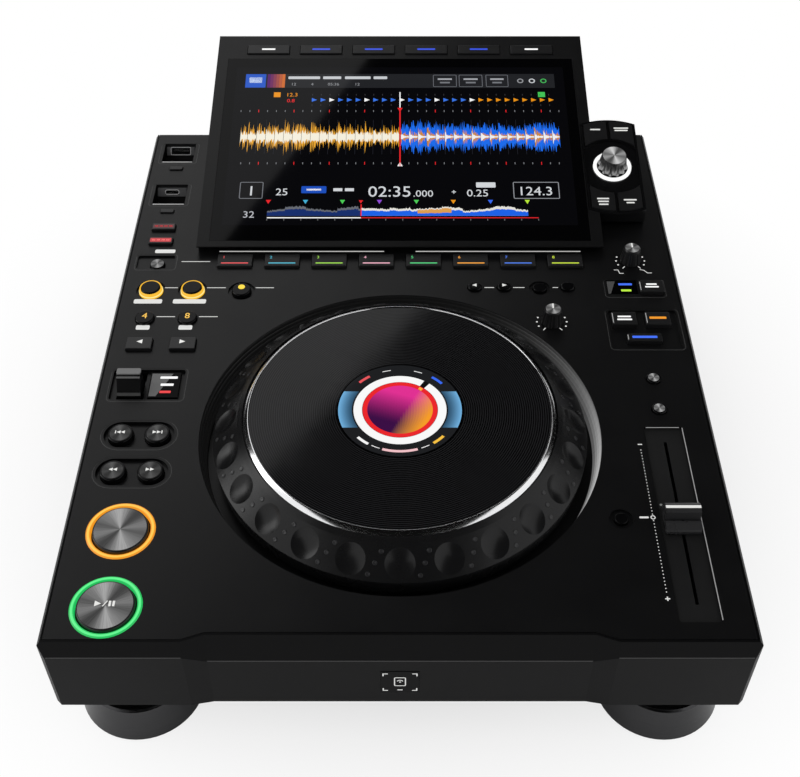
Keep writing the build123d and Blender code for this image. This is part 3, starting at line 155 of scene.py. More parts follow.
@dataclass
class Soup:
    """Vertices and faces gathered from several shapes, with a tint for each face."""

    points: list[Points] = field(default_factory=list)
    faces: list[list[int]] = field(default_factory=list)
    tints: list[Colour] = field(default_factory=list)
    count: int = 0

    def add(self, points: Points, faces: Sequence[Sequence[int]], tint: Colour = WHITE) -> None:
        """Add one shape.

        Args:
            points: An (n, 3) array in millimetres.
            faces: Vertex numbers of each face, counted within this shape.
            tint: The colour of all its faces.
        """
        self.points.append(np.asarray(points, dtype=float))
        self.faces += [[int(v) + self.count for v in face] for face in faces]
        self.tints += [tint] * len(faces)
        self.count += len(points)

    def piece(self, name: str, body: Body | str, finish: Finish, smooth: bool = False,
              slot: str = "") -> bpy.types.Object:
        """Make one object of everything gathered.

        Args:
            name: The piece's name.
            body: The body it rides on.
            finish: Its finish.
            smooth: Whether faces shade smoothly.
            slot: Not used.

        Returns:
            The new object, at the origin, with its place in its mesh.
        """
        mesh = bpy.data.meshes.new(name)
        mesh.from_pydata(np.concatenate(self.points) * MM, [], self.faces)
        tint = mesh.color_attributes.new("tint", "FLOAT_COLOR", "CORNER")
        sizes = np.array([len(face) for face in self.faces])
        colours = np.repeat(np.column_stack([np.array(self.tints), np.ones(len(sizes))]), sizes, axis=0)
        tint.data.foreach_set("color", colours.astype(np.float32).ravel())
        mesh.polygons.foreach_set("use_smooth", np.full(len(sizes), smooth))
        mesh.materials.append(finish.material())
        mesh.update()
        made = bpy.data.objects.new(name, mesh)
        bpy.context.scene.collection.objects.link(made)
        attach(made, body.value if isinstance(body, Body) else body)
        LOG.info("%s: %d faces on %s", name, len(sizes), body)
        return made


def circle(steps: int, start: float = 0.0, sweep: float = 360.0) -> Points:
    """Unit vectors at even angles, as (cos t, sin t); a full sweep leaves its last point out.

    Args:
        steps: Number of points.
        start: First angle in degrees.
        sweep: Angle covered in degrees.

    Returns:
        A (steps, 2) array.
    """
    angles = np.radians(start + np.linspace(0.0, sweep, steps, endpoint=sweep < 360.0))
    return np.column_stack([np.cos(angles), np.sin(angles)])


def rounded(width: float, height: float, corner: float, steps: int = 6) -> Points:
    """The outline of a rectangle with round corners, counter-clockwise about its centre.

    Each corner is a quarter circle about a point set in by the corner's radius.

    Args:
        width: Size across.
        height: Size along.
        corner: Radius of the corners.
        steps: Points in each quarter.

    Returns:
        A (4 * steps, 2) array.
    """
    corner = min(corner, width / 2 - 1e-4, height / 2 - 1e-4)
    signs = ((1, 1), (-1, 1), (-1, -1), (1, -1))
    inset = np.array([width / 2 - corner, height / 2 - corner])
    return np.concatenate([inset * sign + corner * circle(steps, 90.0 * n, 89.999)
                           for n, sign in enumerate(signs)])


@dataclass
class Print:
    """Marks on one plane, each a thin closed plate with its own tint."""

    plane: Plane = DECK
    lift: float = 0.02
    thick: float = 0.05
    soup: Soup = field(default_factory=Soup)

    def shape(self, outline: Points, tint: Colour = WHITE) -> None:
        """A plate with a given outline: the outline at two heights, joined by its walls.

        Args:
            outline: An (n, 2) array, counter-clockwise.
            tint: Its colour.
        """
        n = len(outline)
        points = np.concatenate([self.plane.place(outline, self.lift),
                                 self.plane.place(outline, self.lift + self.thick)])
        walls = [[k, (k + 1) % n, n + (k + 1) % n, n + k] for k in range(n)]
        self.soup.add(points, [list(range(n))[::-1], list(range(n, 2 * n)), *walls], tint)

    def bar(self, x: float, y: float, width: float, height: float, tint: Colour = WHITE,
            turn: float = 0.0, corner: float = 0.0) -> None:
        """A rectangle about a point, with round corners where asked.

        Args:
            x: Centre across.
            y: Centre along.
            width: Size across.
            height: Size along.
            tint: Its colour.
            turn: Degrees it is turned by.
            corner: Radius of its corners.
        """
        half = np.array([width / 2, height / 2])
        outline = rounded(width, height, corner, 4) if corner else half * np.array(
            [[-1, -1], [1, -1], [1, 1], [-1, 1]])
        self.shape(spin(outline, turn) + (x, y), tint)

    def bars(self, rows: Sequence[tuple[float, ...]], tint: Colour = WHITE, turn: float = 0.0,
             corner: float = 0.0) -> None:
        """A bar for each row of x, y, width and height."""
        for row in rows:
            self.bar(*row, tint, turn, corner)

    def disc(self, x: float, y: float, radius: float, tint: Colour = WHITE, steps: int = 20) -> None:
        """A round plate about (x, y)."""
        self.shape(radius * circle(steps) + (x, y), tint)

    def arrow(self, x: float, y: float, size: float, turn: float, tint: Colour = WHITE) -> None:
        """A solid triangle that points along its turn, zero being to the right."""
        outline = size * np.array([[-0.5, -0.5], [0.5, 0.0], [-0.5, 0.5]])
        self.shape(spin(outline, turn) + (x, y), tint)

    def ring(self, x: float, y: float, outer: float, inner: float, tint: Colour = WHITE,
             start: float = 0.0, sweep: float = 360.0, steps: int = 64) -> None:
        """A ring, or an arc of one: four corners of its section carried round the centre.

        Args:
            x: Centre across.
            y: Centre along.
            outer: Outer radius.
            inner: Inner radius.
            tint: Its colour.
            start: First angle in degrees.
            sweep: Angle covered.
            steps: Sections carried round.
        """
        spokes = circle(steps, start, sweep)
        low, high = self.lift, self.lift + self.thick
        corners = [(inner, low), (outer, low), (outer, high), (inner, high)]
        points = np.stack([self.plane.place(spokes * radius + (x, y), height)
                           for radius, height in corners], axis=1).reshape(-1, 3)
        full = sweep >= 360.0
        faces = strip_faces(steps, 4, full, True)[:, ::-1].tolist()
        if not full:
            last = 4 * (steps - 1)
            faces += [[0, 1, 2, 3], [last + 3, last + 2, last + 1, last]]
        self.soup.add(points, faces, tint)

    def frame(self, x: float, y: float, width: float, height: float, corner: float, line: float,
              tint: Colour = WHITE) -> None:
        """The outline of a rounded rectangle: four corners of the line's section carried along it.

        Args:
            x: Centre across.
            y: Centre along.
            width: Outer size across.
            height: Outer size along.
            corner: Outer radius of the corners.
            line: Width of the line.
            tint: Its colour.
        """
        steps = 6
        outer = rounded(width, height, corner, steps) + (x, y)
        inner = rounded(width - 2 * line, height - 2 * line, max(corner - line, 0.05), steps) + (x, y)
        low, high = self.lift, self.lift + self.thick
        points = np.stack([self.plane.place(inner, low), self.plane.place(outer, low),
                           self.plane.place(outer, high), self.plane.place(inner, high)], axis=1)
        self.soup.add(points.reshape(-1, 3), strip_faces(4 * steps, 4, True, True)[:, ::-1].tolist(), tint)

    def path(self, points: Sequence[Pair], width: float, tint: Colour = WHITE) -> None:
        """A bent line: each run is a bar between two points.

        Args:
            points: Where it bends, with its ends.
            width: Width of the line.
            tint: Its colour.
        """
        for (x0, y0), (x1, y1) in zip(points, points[1:]):
            run = float(np.hypot(x1 - x0, y1 - y0)) + width * 0.6
            turn = float(np.degrees(np.arctan2(y1 - y0, x1 - x0)))
            self.bar((x0 + x1) / 2, (y0 + y1) / 2, run, width, tint, turn)

    def text(self, words: str, x: float, y: float, height: float, tint: Colour = WHITE) -> None:
        """Numbers about a point.

        Args:
            words: The digits.
            x: Centre across.
            y: Centre along.
            height: The digits' height.
            tint: Their colour.
        """
        flat, faces = glyphs(words)
        scaled = flat[:, :2] * height + (x, y)
        self.soup.add(self.plane.place(scaled, self.lift + flat[:, 2] * self.thick), faces, tint)

    def piece(self, name: str, body: Body | str, finish: Finish) -> bpy.types.Object:
        """Make the object of all the marks."""
        return self.soup.piece(name, body, finish)


def spin(outline: Points, turn: float) -> Points:
    """Turn flat points about the origin by some degrees: (a cos t - b sin t, a sin t + b cos t)."""
    c, s = np.cos(np.radians(turn)), np.sin(np.radians(turn))
    return outline @ np.array([[c, s], [-s, c]])


GLYPHS: dict[str, tuple[Points, list[list[int]]]] = {}


def glyphs(words: str) -> tuple[Points, list[list[int]]]:
    """Solid glyphs of a line of digits, with a height of one and a depth from zero to one.

    Args:
        words: The digits to set.

    Returns:
        Points about the line's middle, and faces.
    """
    if words not in GLYPHS:
        curve = bpy.data.curves.new("digits", "FONT")
        curve.body, curve.size, curve.extrude, curve.resolution_u = words, 1.0, 0.5, 3
        holder = bpy.data.objects.new("digits", curve)
        mesh = bpy.data.meshes.new_from_object(holder)
        flat = np.empty(len(mesh.vertices) * 3)
        mesh.vertices.foreach_get("co", flat)
        flat = flat.reshape(-1, 3)
        low, high = flat.min(axis=0), flat.max(axis=0)
        flat[:, :2] = (flat[:, :2] - (low + high)[:2] / 2) / (high[1] - low[1])
        flat[:, 2] = (flat[:, 2] - low[2]) / (high[2] - low[2])
        GLYPHS[words] = flat, [list(face.vertices) for face in mesh.polygons]
        bpy.data.objects.remove(holder)
        bpy.data.curves.remove(curve)
        bpy.data.meshes.remove(mesh)
    return GLYPHS[words]


def lathe(soup: Soup, profile: Sequence[Pair], plane: Plane, x: float = 0.0,
          y: float = 0.0, steps: int = 96, tint: Colour = WHITE) -> None:
    """A surface of revolution: each profile point (r, h) is carried round at r (cos t, sin t).

    Args:
        soup: Where the surface goes.
        profile: Radius and height, from the bottom of the outside to the top and inwards. A closed
            profile repeats its first point; an open one ends at radius zero.
        plane: The plane its axis stands on.
        x: The axis's place across.
        y: The axis's place along.
        steps: Points round the axis.
        tint: Its colour.
    """
    closed = profile[0] == profile[-1]
    rings = profile[:-1] if closed else profile
    spokes = circle(steps)
    points = np.concatenate([plane.place(spokes * max(radius, 1e-4) + (x, y), height)
                             for radius, height in rings])
    soup.add(points, strip_faces(len(rings), steps, closed, True).tolist(), tint)

# ================================================================ node groups and finishes
MIX_A, MIX_B, MIX_RESULT = 6, 7, 2  # places of the colour sockets on a Mix node
GRAIN_DETAIL = 3.0
# scale and detail of each noise
PATCH, SMEAR, SPECKS, STREAKS = (22.0, 4.0), (140.0, 3.0), (1500.0, 1.0), (1.6, 4.0)
PATCH_SHARE = 0.65
SPECK_LEVEL = 0.79
# The bright lobes are a painted highlight: light painted into the colour of turned faces.
PAINTED_LOBES = ((1.8, 9.0, 1.0), (0.25, 14.0, 0.45), (2.55, 20.0, 0.3))  # turn, power and share of each bright lobe
STREAKS_ROUND, STREAKS_OUT = 26.0, 40.0  # how fast streaks change with the angle and with the radius
STREAK_GLOSS = 0.3
LEAST_ROUGH = 0.02
# Share of the colour left between the painted highlight lobes.
BETWEEN_PAINTED_LOBES = 0.08
PATCH_SPAN = (0.2, 0.8)
DUST: Colour = (0.35, 0.35, 0.34)
STRETCH = {Texture.LEVELS: (20.0, 20.0, 5000.0), Texture.BRUSHED: (40.0, 4000.0, 4000.0)}


def feed(tree: Tree, socket: Socket, source: object) -> None:
    """Link a socket to its source, or set its value.

    Args:
        tree: The node tree.
        socket: The input to feed.
        source: A socket or a value.
    """
    if isinstance(source, Socket):
        tree.links.new(source, socket)
    else:
        socket.default_value = source


def wire(tree: Tree, kind: str, *sources: object, **settings: object) -> Node:
    """Add a node, set its properties, and feed its inputs in order.

    Args:
        tree: The node tree.
        kind: The node's type.
        *sources: A socket or a value for each of its first inputs.
        **settings: Properties to set, such as operation.

    Returns:
        The new node.
    """
    node = tree.nodes.new(kind)
    for key, value in settings.items():
        setattr(node, key, value)
    for socket, source in zip(node.inputs, sources):
        feed(tree, socket, source)
    return node


def maths(tree: Tree, operation: str, *sources: object) -> Socket:
    """The result of a math node."""
    return wire(tree, "ShaderNodeMath", *sources, operation=operation).outputs[0]


def noise(tree: Tree, vector: Socket, scale: object, detail: float) -> Socket:
    """A noise value between zero and one.

    Args:
        tree: The node tree.
        vector: Where it is read.
        scale: Its scale, a value or a socket.
        detail: Number of finer layers.

    Returns:
        The value's socket.
    """
    node = wire(tree, "ShaderNodeTexNoise", vector)
    feed(tree, node.inputs["Scale"], scale)
    feed(tree, node.inputs["Detail"], detail)
    return node.outputs["Fac"]


def blend(tree: Tree, share: object, first: object, second: object, kind: str = "MIX") -> Socket:
    """A colour that goes from the first to the second, or to their product.

    Args:
        tree: The node tree.
        share: How far it goes, a value or a socket.
        first: The first colour or its socket.
        second: The second colour or its socket.
        kind: How they are blended.

    Returns:
        The colour's socket.
    """
    node = wire(tree, "ShaderNodeMix", share, data_type="RGBA", blend_type=kind)
    feed(tree, node.inputs[MIX_A], first)
    feed(tree, node.inputs[MIX_B], second)
    return node.outputs[MIX_RESULT]


def surface_effect(tree: Tree, given: dict[str, Socket]) -> list[Socket]:
    """Fine grain, slow patches and dust specks, each a noise of its own scale.

    Args:
        tree: The group's nodes.
        given: Its inputs by name.

    Returns:
        The grain's height, the patches and the specks.
    """
    vector = given["Vector"]
    mixed = maths(tree, "ADD", maths(tree, "MULTIPLY", noise(tree, vector, *PATCH), PATCH_SHARE),
                  maths(tree, "MULTIPLY", noise(tree, vector, *SMEAR), 1 - PATCH_SHARE))
    speck = maths(tree, "GREATER_THAN", noise(tree, vector, *SPECKS), SPECK_LEVEL)
    return [noise(tree, vector, given["Fine"], GRAIN_DETAIL), mixed, speck]


def turned_effect(tree: Tree, given: dict[str, Socket]) -> list[Socket]:
    """What turning leaves about an upright axis, and bright lobes that paint its highlight.

    Rings are the sine of the radius, streaks a noise of the angle, and the lobes, a painted highlight, a high
    power of the cosine of the angle.

    Args:
        tree: The group's nodes.
        given: Its inputs by name.

    Returns:
        The rings, the streaks and the bright lobes of painted highlight.
    """
    moved = wire(tree, "ShaderNodeVectorMath", given["Vector"], given["Centre"], operation="SUBTRACT")
    x, y = wire(tree, "ShaderNodeSeparateXYZ", moved.outputs[0]).outputs[:2]
    radius = maths(tree, "SQRT", maths(tree, "ADD", *(maths(tree, "MULTIPLY", v, v) for v in (x, y))))
    rings = maths(tree, "SINE", maths(tree, "MULTIPLY", radius, given["Rings"]))
    angle = maths(tree, "ARCTAN2", y, x)
    painted_highlight = None
    for turn, power, share in PAINTED_LOBES:
        swing = maths(tree, "ABSOLUTE", maths(tree, "COSINE", maths(tree, "SUBTRACT", angle, turn)))
        lobe = maths(tree, "MULTIPLY", maths(tree, "POWER", swing, power), share)
        painted_highlight = lobe if painted_highlight is None else maths(tree, "ADD", painted_highlight, lobe)
    spread = wire(tree, "ShaderNodeCombineXYZ", maths(tree, "MULTIPLY", angle, STREAKS_ROUND),
                  maths(tree, "MULTIPLY", radius, STREAKS_OUT), 0.0).outputs[0]
    return [maths(tree, "ADD", maths(tree, "MULTIPLY", rings, 0.5), 0.5), noise(tree, spread, *STREAKS), painted_highlight]


def lines_effect(tree: Tree, given: dict[str, Socket]) -> list[Socket]:
    """Brushed lines: noise stretched along one direction by a scaled vector."""
    scaled = wire(tree, "ShaderNodeVectorMath", given["Vector"], given["Stretch"], operation="MULTIPLY")
    return [noise(tree, scaled.outputs[0], 1.0, GRAIN_DETAIL)]


Wiring = Callable[[Tree, dict[str, Socket]], list[Socket]]
EFFECTS: dict[str, tuple[Wiring, dict[str, str], tuple[str, ...]]] = {
    "surface": (surface_effect, {"Vector": "Vector", "Fine": "Float"}, ("Height", "Patch", "Speck")),
    "turned": (turned_effect, {"Vector": "Vector", "Centre": "Vector", "Rings": "Float"},
               ("Rings", "Streaks", "PaintedLobes")),
    "lines": (lines_effect, {"Vector": "Vector", "Stretch": "Vector"}, ("Height",)),
}


def effect(name: str) -> Tree:
    """A shader node group, made once from its row of EFFECTS: what wires it, its inputs and its outputs.

    Args:
        name: The group's name.

    Returns:
        The group's tree.
    """
    if name in bpy.data.node_groups:
        return bpy.data.node_groups[name]
    build, inputs, outputs = EFFECTS[name]
    tree = bpy.data.node_groups.new(name, "ShaderNodeTree")
    for label, kind in inputs.items():
        tree.interface.new_socket(name=label, in_out="INPUT", socket_type=f"NodeSocket{kind}")
    for label in outputs:
        tree.interface.new_socket(name=label, in_out="OUTPUT", socket_type="NodeSocketFloat")
    entry, leave = tree.nodes.new("NodeGroupInput"), tree.nodes.new("NodeGroupOutput")
    for label, source in zip(outputs, build(tree, {label: entry.outputs[label] for label in inputs})):
        tree.links.new(source, leave.inputs[label])
    return tree


def placed(tree: Tree, name: str, **sources: object) -> Node:
    """One of the node groups, placed in a material.

    Args:
        tree: The material's nodes.
        name: The group's name.
        **sources: A socket or a value for each of its inputs.

    Returns:
        The group's node.
    """
    node = wire(tree, "ShaderNodeGroup", node_tree=effect(name))
    for label, source in sources.items():
        feed(tree, node.inputs[label], source)
    return node


@dataclass(frozen=True)
class Finish:
    """One finish: a colour with its gloss, the texture of its surface, and how they vary.

    vary is the swing of the roughness, shade that of the colour, dust the strength of its specks, and fan that
    of the bright lobes, a highlight painted into the colour of a turned face. A tinted finish takes its colour
    from the piece.
    """

    name: str
    colour: Colour = (0.022, 0.022, 0.023)
    rough: float = 0.42
    texture: Texture = Texture.GRAIN
    metallic: float = 0.0
    specular: float = 0.5
    fine: float = 2400.0
    bump: float = 0.25
    depth: float = 0.02
    vary: float = 0.10
    shade: float = 0.12
    dust: float = 0.0
    glow: float = 0.0
    tinted: bool = False
    centre: Pair = (0.0, 0.0)
    pitch: float = 0.5
    painted_highlight: float = 0.0

    def material(self) -> Material:
        """Build the node material.

        Returns:
            The material, made once for each name.
        """
        if self.name in bpy.data.materials:
            return bpy.data.materials[self.name]
        made = bpy.data.materials.new(self.name)
        made.use_nodes = True
        tree = made.node_tree
        shader = tree.nodes["Principled BSDF"]
        for socket, value in (("Metallic", self.metallic), ("Specular IOR Level", self.specular),
                              ("Emission Strength", self.glow)):
            shader.inputs[socket].default_value = value
        vector = tree.nodes.new("ShaderNodeTexCoord").outputs["Object"]
        surface = placed(tree, "surface", Vector=vector, Fine=self.fine)
        height, streaks, painted_highlight = self.relief(tree, vector, surface)
        self.colouring(tree, shader, surface, streaks, painted_highlight)
        swing = maths(tree, "MULTIPLY", maths(tree, "SUBTRACT", surface.outputs["Patch"], 0.5), 2 * self.vary)
        rough = maths(tree, "ADD", swing, self.rough)
        if streaks is not None and self.texture is not Texture.RINGS:
            streaked = maths(tree, "MULTIPLY", maths(tree, "SUBTRACT", streaks, 0.5), STREAK_GLOSS)
            rough = maths(tree, "ADD", rough, streaked)
        feed(tree, shader.inputs["Roughness"], maths(tree, "MAXIMUM", rough, LEAST_ROUGH))
        bump = wire(tree, "ShaderNodeBump", self.bump, self.depth * MM)
        feed(tree, bump.inputs["Height"], height)
        feed(tree, shader.inputs["Normal"], bump.outputs[0])
        return made

    def relief(self, tree: Tree, vector: Socket, surface: Node) -> tuple[Socket, Socket | None, Socket | None]:
        """Choose what shapes the surface.

        Args:
            tree: The material's nodes.
            vector: The object's coordinates.
            surface: The node of the surface effect.

        Returns:
            The height, the streaks that vary colour and gloss, and the bright lobes of painted highlight, the
            last two where it has them.
        """
        if self.texture in (Texture.RINGS, Texture.SPUN):
            turned = placed(tree, "turned", Vector=vector, Rings=2 * np.pi / (self.pitch * MM),
                            Centre=(self.centre[0] * MM, self.centre[1] * MM, 0.0))
            if self.texture is Texture.RINGS:
                return turned.outputs["Rings"], turned.outputs["Rings"], None
            return turned.outputs["Streaks"], turned.outputs["Streaks"], turned.outputs["PaintedLobes"]
        if self.texture in STRETCH:
            lines = placed(tree, "lines", Vector=vector, Stretch=STRETCH[self.texture])
            return lines.outputs["Height"], lines.outputs["Height"], None
        return surface.outputs["Patch" if self.texture is Texture.SMOOTH else "Height"], None, None

    def colouring(self, tree: Tree, shader: Node, surface: Node, streaks: Socket | None,
                  painted_highlight: Socket | None) -> None:
        """Colour from the finish or the piece's own tint, a little uneven, with painted highlight lobes and
        dust where set.

        Args:
            tree: The material's nodes.
            shader: Its Principled BSDF.
            surface: The node of the surface effect.
            streaks: What makes the colour uneven, or None for the slow patches.
            painted_highlight: The bright lobes of painted highlight, if any.
        """
        base: object = (*self.colour, 1.0)
        # Painted highlight: bright lobes over a darker colour.
        if self.painted_highlight and painted_highlight is not None:
            share = maths(tree, "MINIMUM", maths(tree, "MULTIPLY", painted_highlight, self.painted_highlight), 1.0)
            base = blend(tree, share, (*(BETWEEN_PAINTED_LOBES * np.array(self.colour)), 1.0), base)
        if self.tinted:
            base = wire(tree, "ShaderNodeAttribute", attribute_name="tint").outputs["Color"]
        uneven = wire(tree, "ShaderNodeMapRange", streaks or surface.outputs["Patch"], *PATCH_SPAN,
                      1.0 - self.shade, 1.0 + self.shade).outputs[0]
        scaled = blend(tree, 1.0, base, uneven, "MULTIPLY")
        specks = maths(tree, "MULTIPLY", surface.outputs["Speck"], self.dust)
        feed(tree, shader.inputs["Emission Color" if self.glow else "Base Color"],
             blend(tree, specks, scaled, (*DUST, 1.0)))
        if self.glow:
            shader.inputs["Base Color"].default_value = (*self.colour, 1.0)


# ================================================================ studio
CARD_TOP, CARD_FRONT = 1.7, -2.4
CARDS: dict[str, tuple[float, tuple[Place, ...]]] = {  # brightness and corners, in metres
    "dark_card": (0.0, ((-1.6, CARD_FRONT, CARD_TOP), (1.6, CARD_FRONT, CARD_TOP), (1.6, 4.2, CARD_TOP),
                        (-1.6, 4.2, CARD_TOP))),
    "front_card": (0.0, ((-0.9, CARD_FRONT, 0.0), (0.9, CARD_FRONT, 0.0), (0.9, CARD_FRONT, CARD_TOP),
                         (-0.9, CARD_FRONT, CARD_TOP))),
    "pale_card": (1.0, ((-0.50, 0.14, 1.0), (0.26, 1.32, 1.0), (-0.7, 2.1, 1.0), (-1.5, 0.7, 1.0))),
    "side_card_0": (0.0, ((-2.6, 0.7, 0.0), (-1.2, 2.6, 0.0), (-1.2, 2.6, 1.5), (-2.6, 0.7, 1.5))),
    "side_card_2": (0.0, ((2.6, 0.7, 0.0), (1.2, 2.6, 0.0), (1.2, 2.6, 1.5), (2.6, 0.7, 1.5))),
}


@dataclass
class Studio:
    """Floor, light, world, camera and the cards that only reflections show. Lengths here are in metres."""

    camera_place: Place = (0.0, -0.5278, 0.5665)
    camera_tilt: float = 43.952
    lens: float = 55.42
    sensor: float = 36.0
    nearest: float = 0.01
    world_light: float = 0.95
    floor_half: float = 6.0
    floor_grey: float = 0.94
    floor_rough: float = 0.9
    floor_gloss: float = 0.1
    fade_reach: Pair = (0.18, 0.33)
    fade_near: float = 0.62
    lamp_place: Place = (-1.3, 0.1, 0.8)
    lamp_target: Place = (-0.1, 0.0, 0.1)
    lamp_size: Pair = (0.5, 1.2)
    lamp_power: float = 4.0
    card_black: float = 0.004

    def build(self) -> None:
        """Make everything that isn't the object."""
        bpy.context.scene.view_settings.view_transform = "Standard"
        self.camera()
        self.world()
        self.floor()
        self.lamp()
        for name, (strength, places) in CARDS.items():
            self.card(name, places, strength)

    def camera(self) -> None:
        """The camera in front of and above the object."""
        data = bpy.data.cameras.new("camera")
        data.lens, data.sensor_width, data.clip_start = self.lens, self.sensor, self.nearest
        seat = bpy.data.objects.new("camera", data)
        seat.location = self.camera_place
        seat.rotation_euler = (np.radians(self.camera_tilt), 0.0, 0.0)
        bpy.context.scene.collection.objects.link(seat)
        bpy.context.scene.camera = seat

    def world(self) -> None:
        """A white surround to the eye and in reflections, and a slightly dimmer one as light."""
        world = bpy.data.worlds.new("surround")
        world.use_nodes = True
        tree = world.node_tree
        path = tree.nodes.new("ShaderNodeLightPath")
        seen = maths(tree, "MAXIMUM", path.outputs["Is Camera Ray"], maths(
            tree, "MAXIMUM", path.outputs["Is Glossy Ray"], path.outputs["Is Transmission Ray"]))
        level = wire(tree, "ShaderNodeMapRange", seen, 0.0, 1.0, self.world_light, 1.0).outputs[0]
        back = tree.nodes["Background"]
        back.inputs["Color"].default_value = (1.0, 1.0, 1.0, 1.0)
        tree.links.new(level, back.inputs["Strength"])
        bpy.context.scene.world = world

    def sheet(self, name: str, places: Sequence[Place]) -> tuple[bpy.types.Object, Tree]:
        """A flat sheet that isn't part of the object.

        Args:
            name: Its name.
            places: Its four corners.

        Returns:
            The sheet and the nodes of its material.
        """
        mesh = bpy.data.meshes.new(name)
        mesh.from_pydata(places, [], [(0, 1, 2, 3)])
        made = bpy.data.materials.new(name)
        made.use_nodes = True
        mesh.materials.append(made)
        sheet = bpy.data.objects.new(name, mesh)
        bpy.context.scene.collection.objects.link(sheet)
        return sheet, made.node_tree

    def floor(self) -> None:
        """A plain pale floor that fades into the white surround away from the object."""
        half = self.floor_half
        places = [(-half, -half, 0.0), (half, -half, 0.0), (half, half, 0.0), (-half, half, 0.0)]
        _, tree = self.sheet("floor", places)
        shader = tree.nodes["Principled BSDF"]
        shader.inputs["Base Color"].default_value = (*(self.floor_grey,) * 3, 1.0)
        shader.inputs["Roughness"].default_value = self.floor_rough
        shader.inputs["Specular IOR Level"].default_value = self.floor_gloss
        vector = tree.nodes.new("ShaderNodeTexCoord").outputs["Object"]
        reach = wire(tree, "ShaderNodeVectorMath", vector, operation="LENGTH").outputs["Value"]
        far = wire(tree, "ShaderNodeMapRange", reach, *self.fade_reach, self.fade_near, 1.0).outputs[0]
        seen = maths(tree, "MULTIPLY", far, tree.nodes.new("ShaderNodeLightPath").outputs["Is Camera Ray"])
        glow = tree.nodes.new("ShaderNodeEmission")
        mix = wire(tree, "ShaderNodeMixShader", seen, shader.outputs[0], glow.outputs[0])
        tree.links.new(mix.outputs[0], tree.nodes["Material Output"].inputs["Surface"])

    def lamp(self) -> None:
        """A rectangular soft light at the left, aimed at the object and hidden from the camera."""
        data = bpy.data.lights.new("side_light", "AREA")
        data.shape, data.energy = "RECTANGLE", self.lamp_power
        data.size, data.size_y = self.lamp_size
        lamp = bpy.data.objects.new("side_light", data)
        reach = np.array(self.lamp_target) - np.array(self.lamp_place)
        lamp.location = self.lamp_place
        lamp.rotation_euler = (float(np.arctan2(np.hypot(reach[0], reach[1]), -reach[2])), 0.0,
                               float(np.arctan2(reach[1], reach[0]) - np.pi / 2))
        lamp.visible_camera = False
        bpy.context.scene.collection.objects.link(lamp)

    def card(self, name: str, places: Sequence[Place], strength: float) -> None:
        """A card that only reflections show, dark or bright.

        Args:
            name: Its name.
            places: Its four corners.
            strength: Its brightness, zero for a dark one.
        """
        card, tree = self.sheet(name, places)
        shader = tree.nodes["Principled BSDF"]
        shader.inputs["Base Color"].default_value = (*(self.card_black,) * 3, 1.0)
        shader.inputs["Specular IOR Level"].default_value = 0.0
        shader.inputs["Emission Color"].default_value = (1.0, 1.0, 1.0, 1.0)
        shader.inputs["Emission Strength"].default_value = strength
        card.visible_camera = card.visible_diffuse = card.visible_shadow = False


# ================================================================ finishes of the CAD nodes
def grey(value: float) -> Colour:
    """A neutral colour."""
    return value, value, value


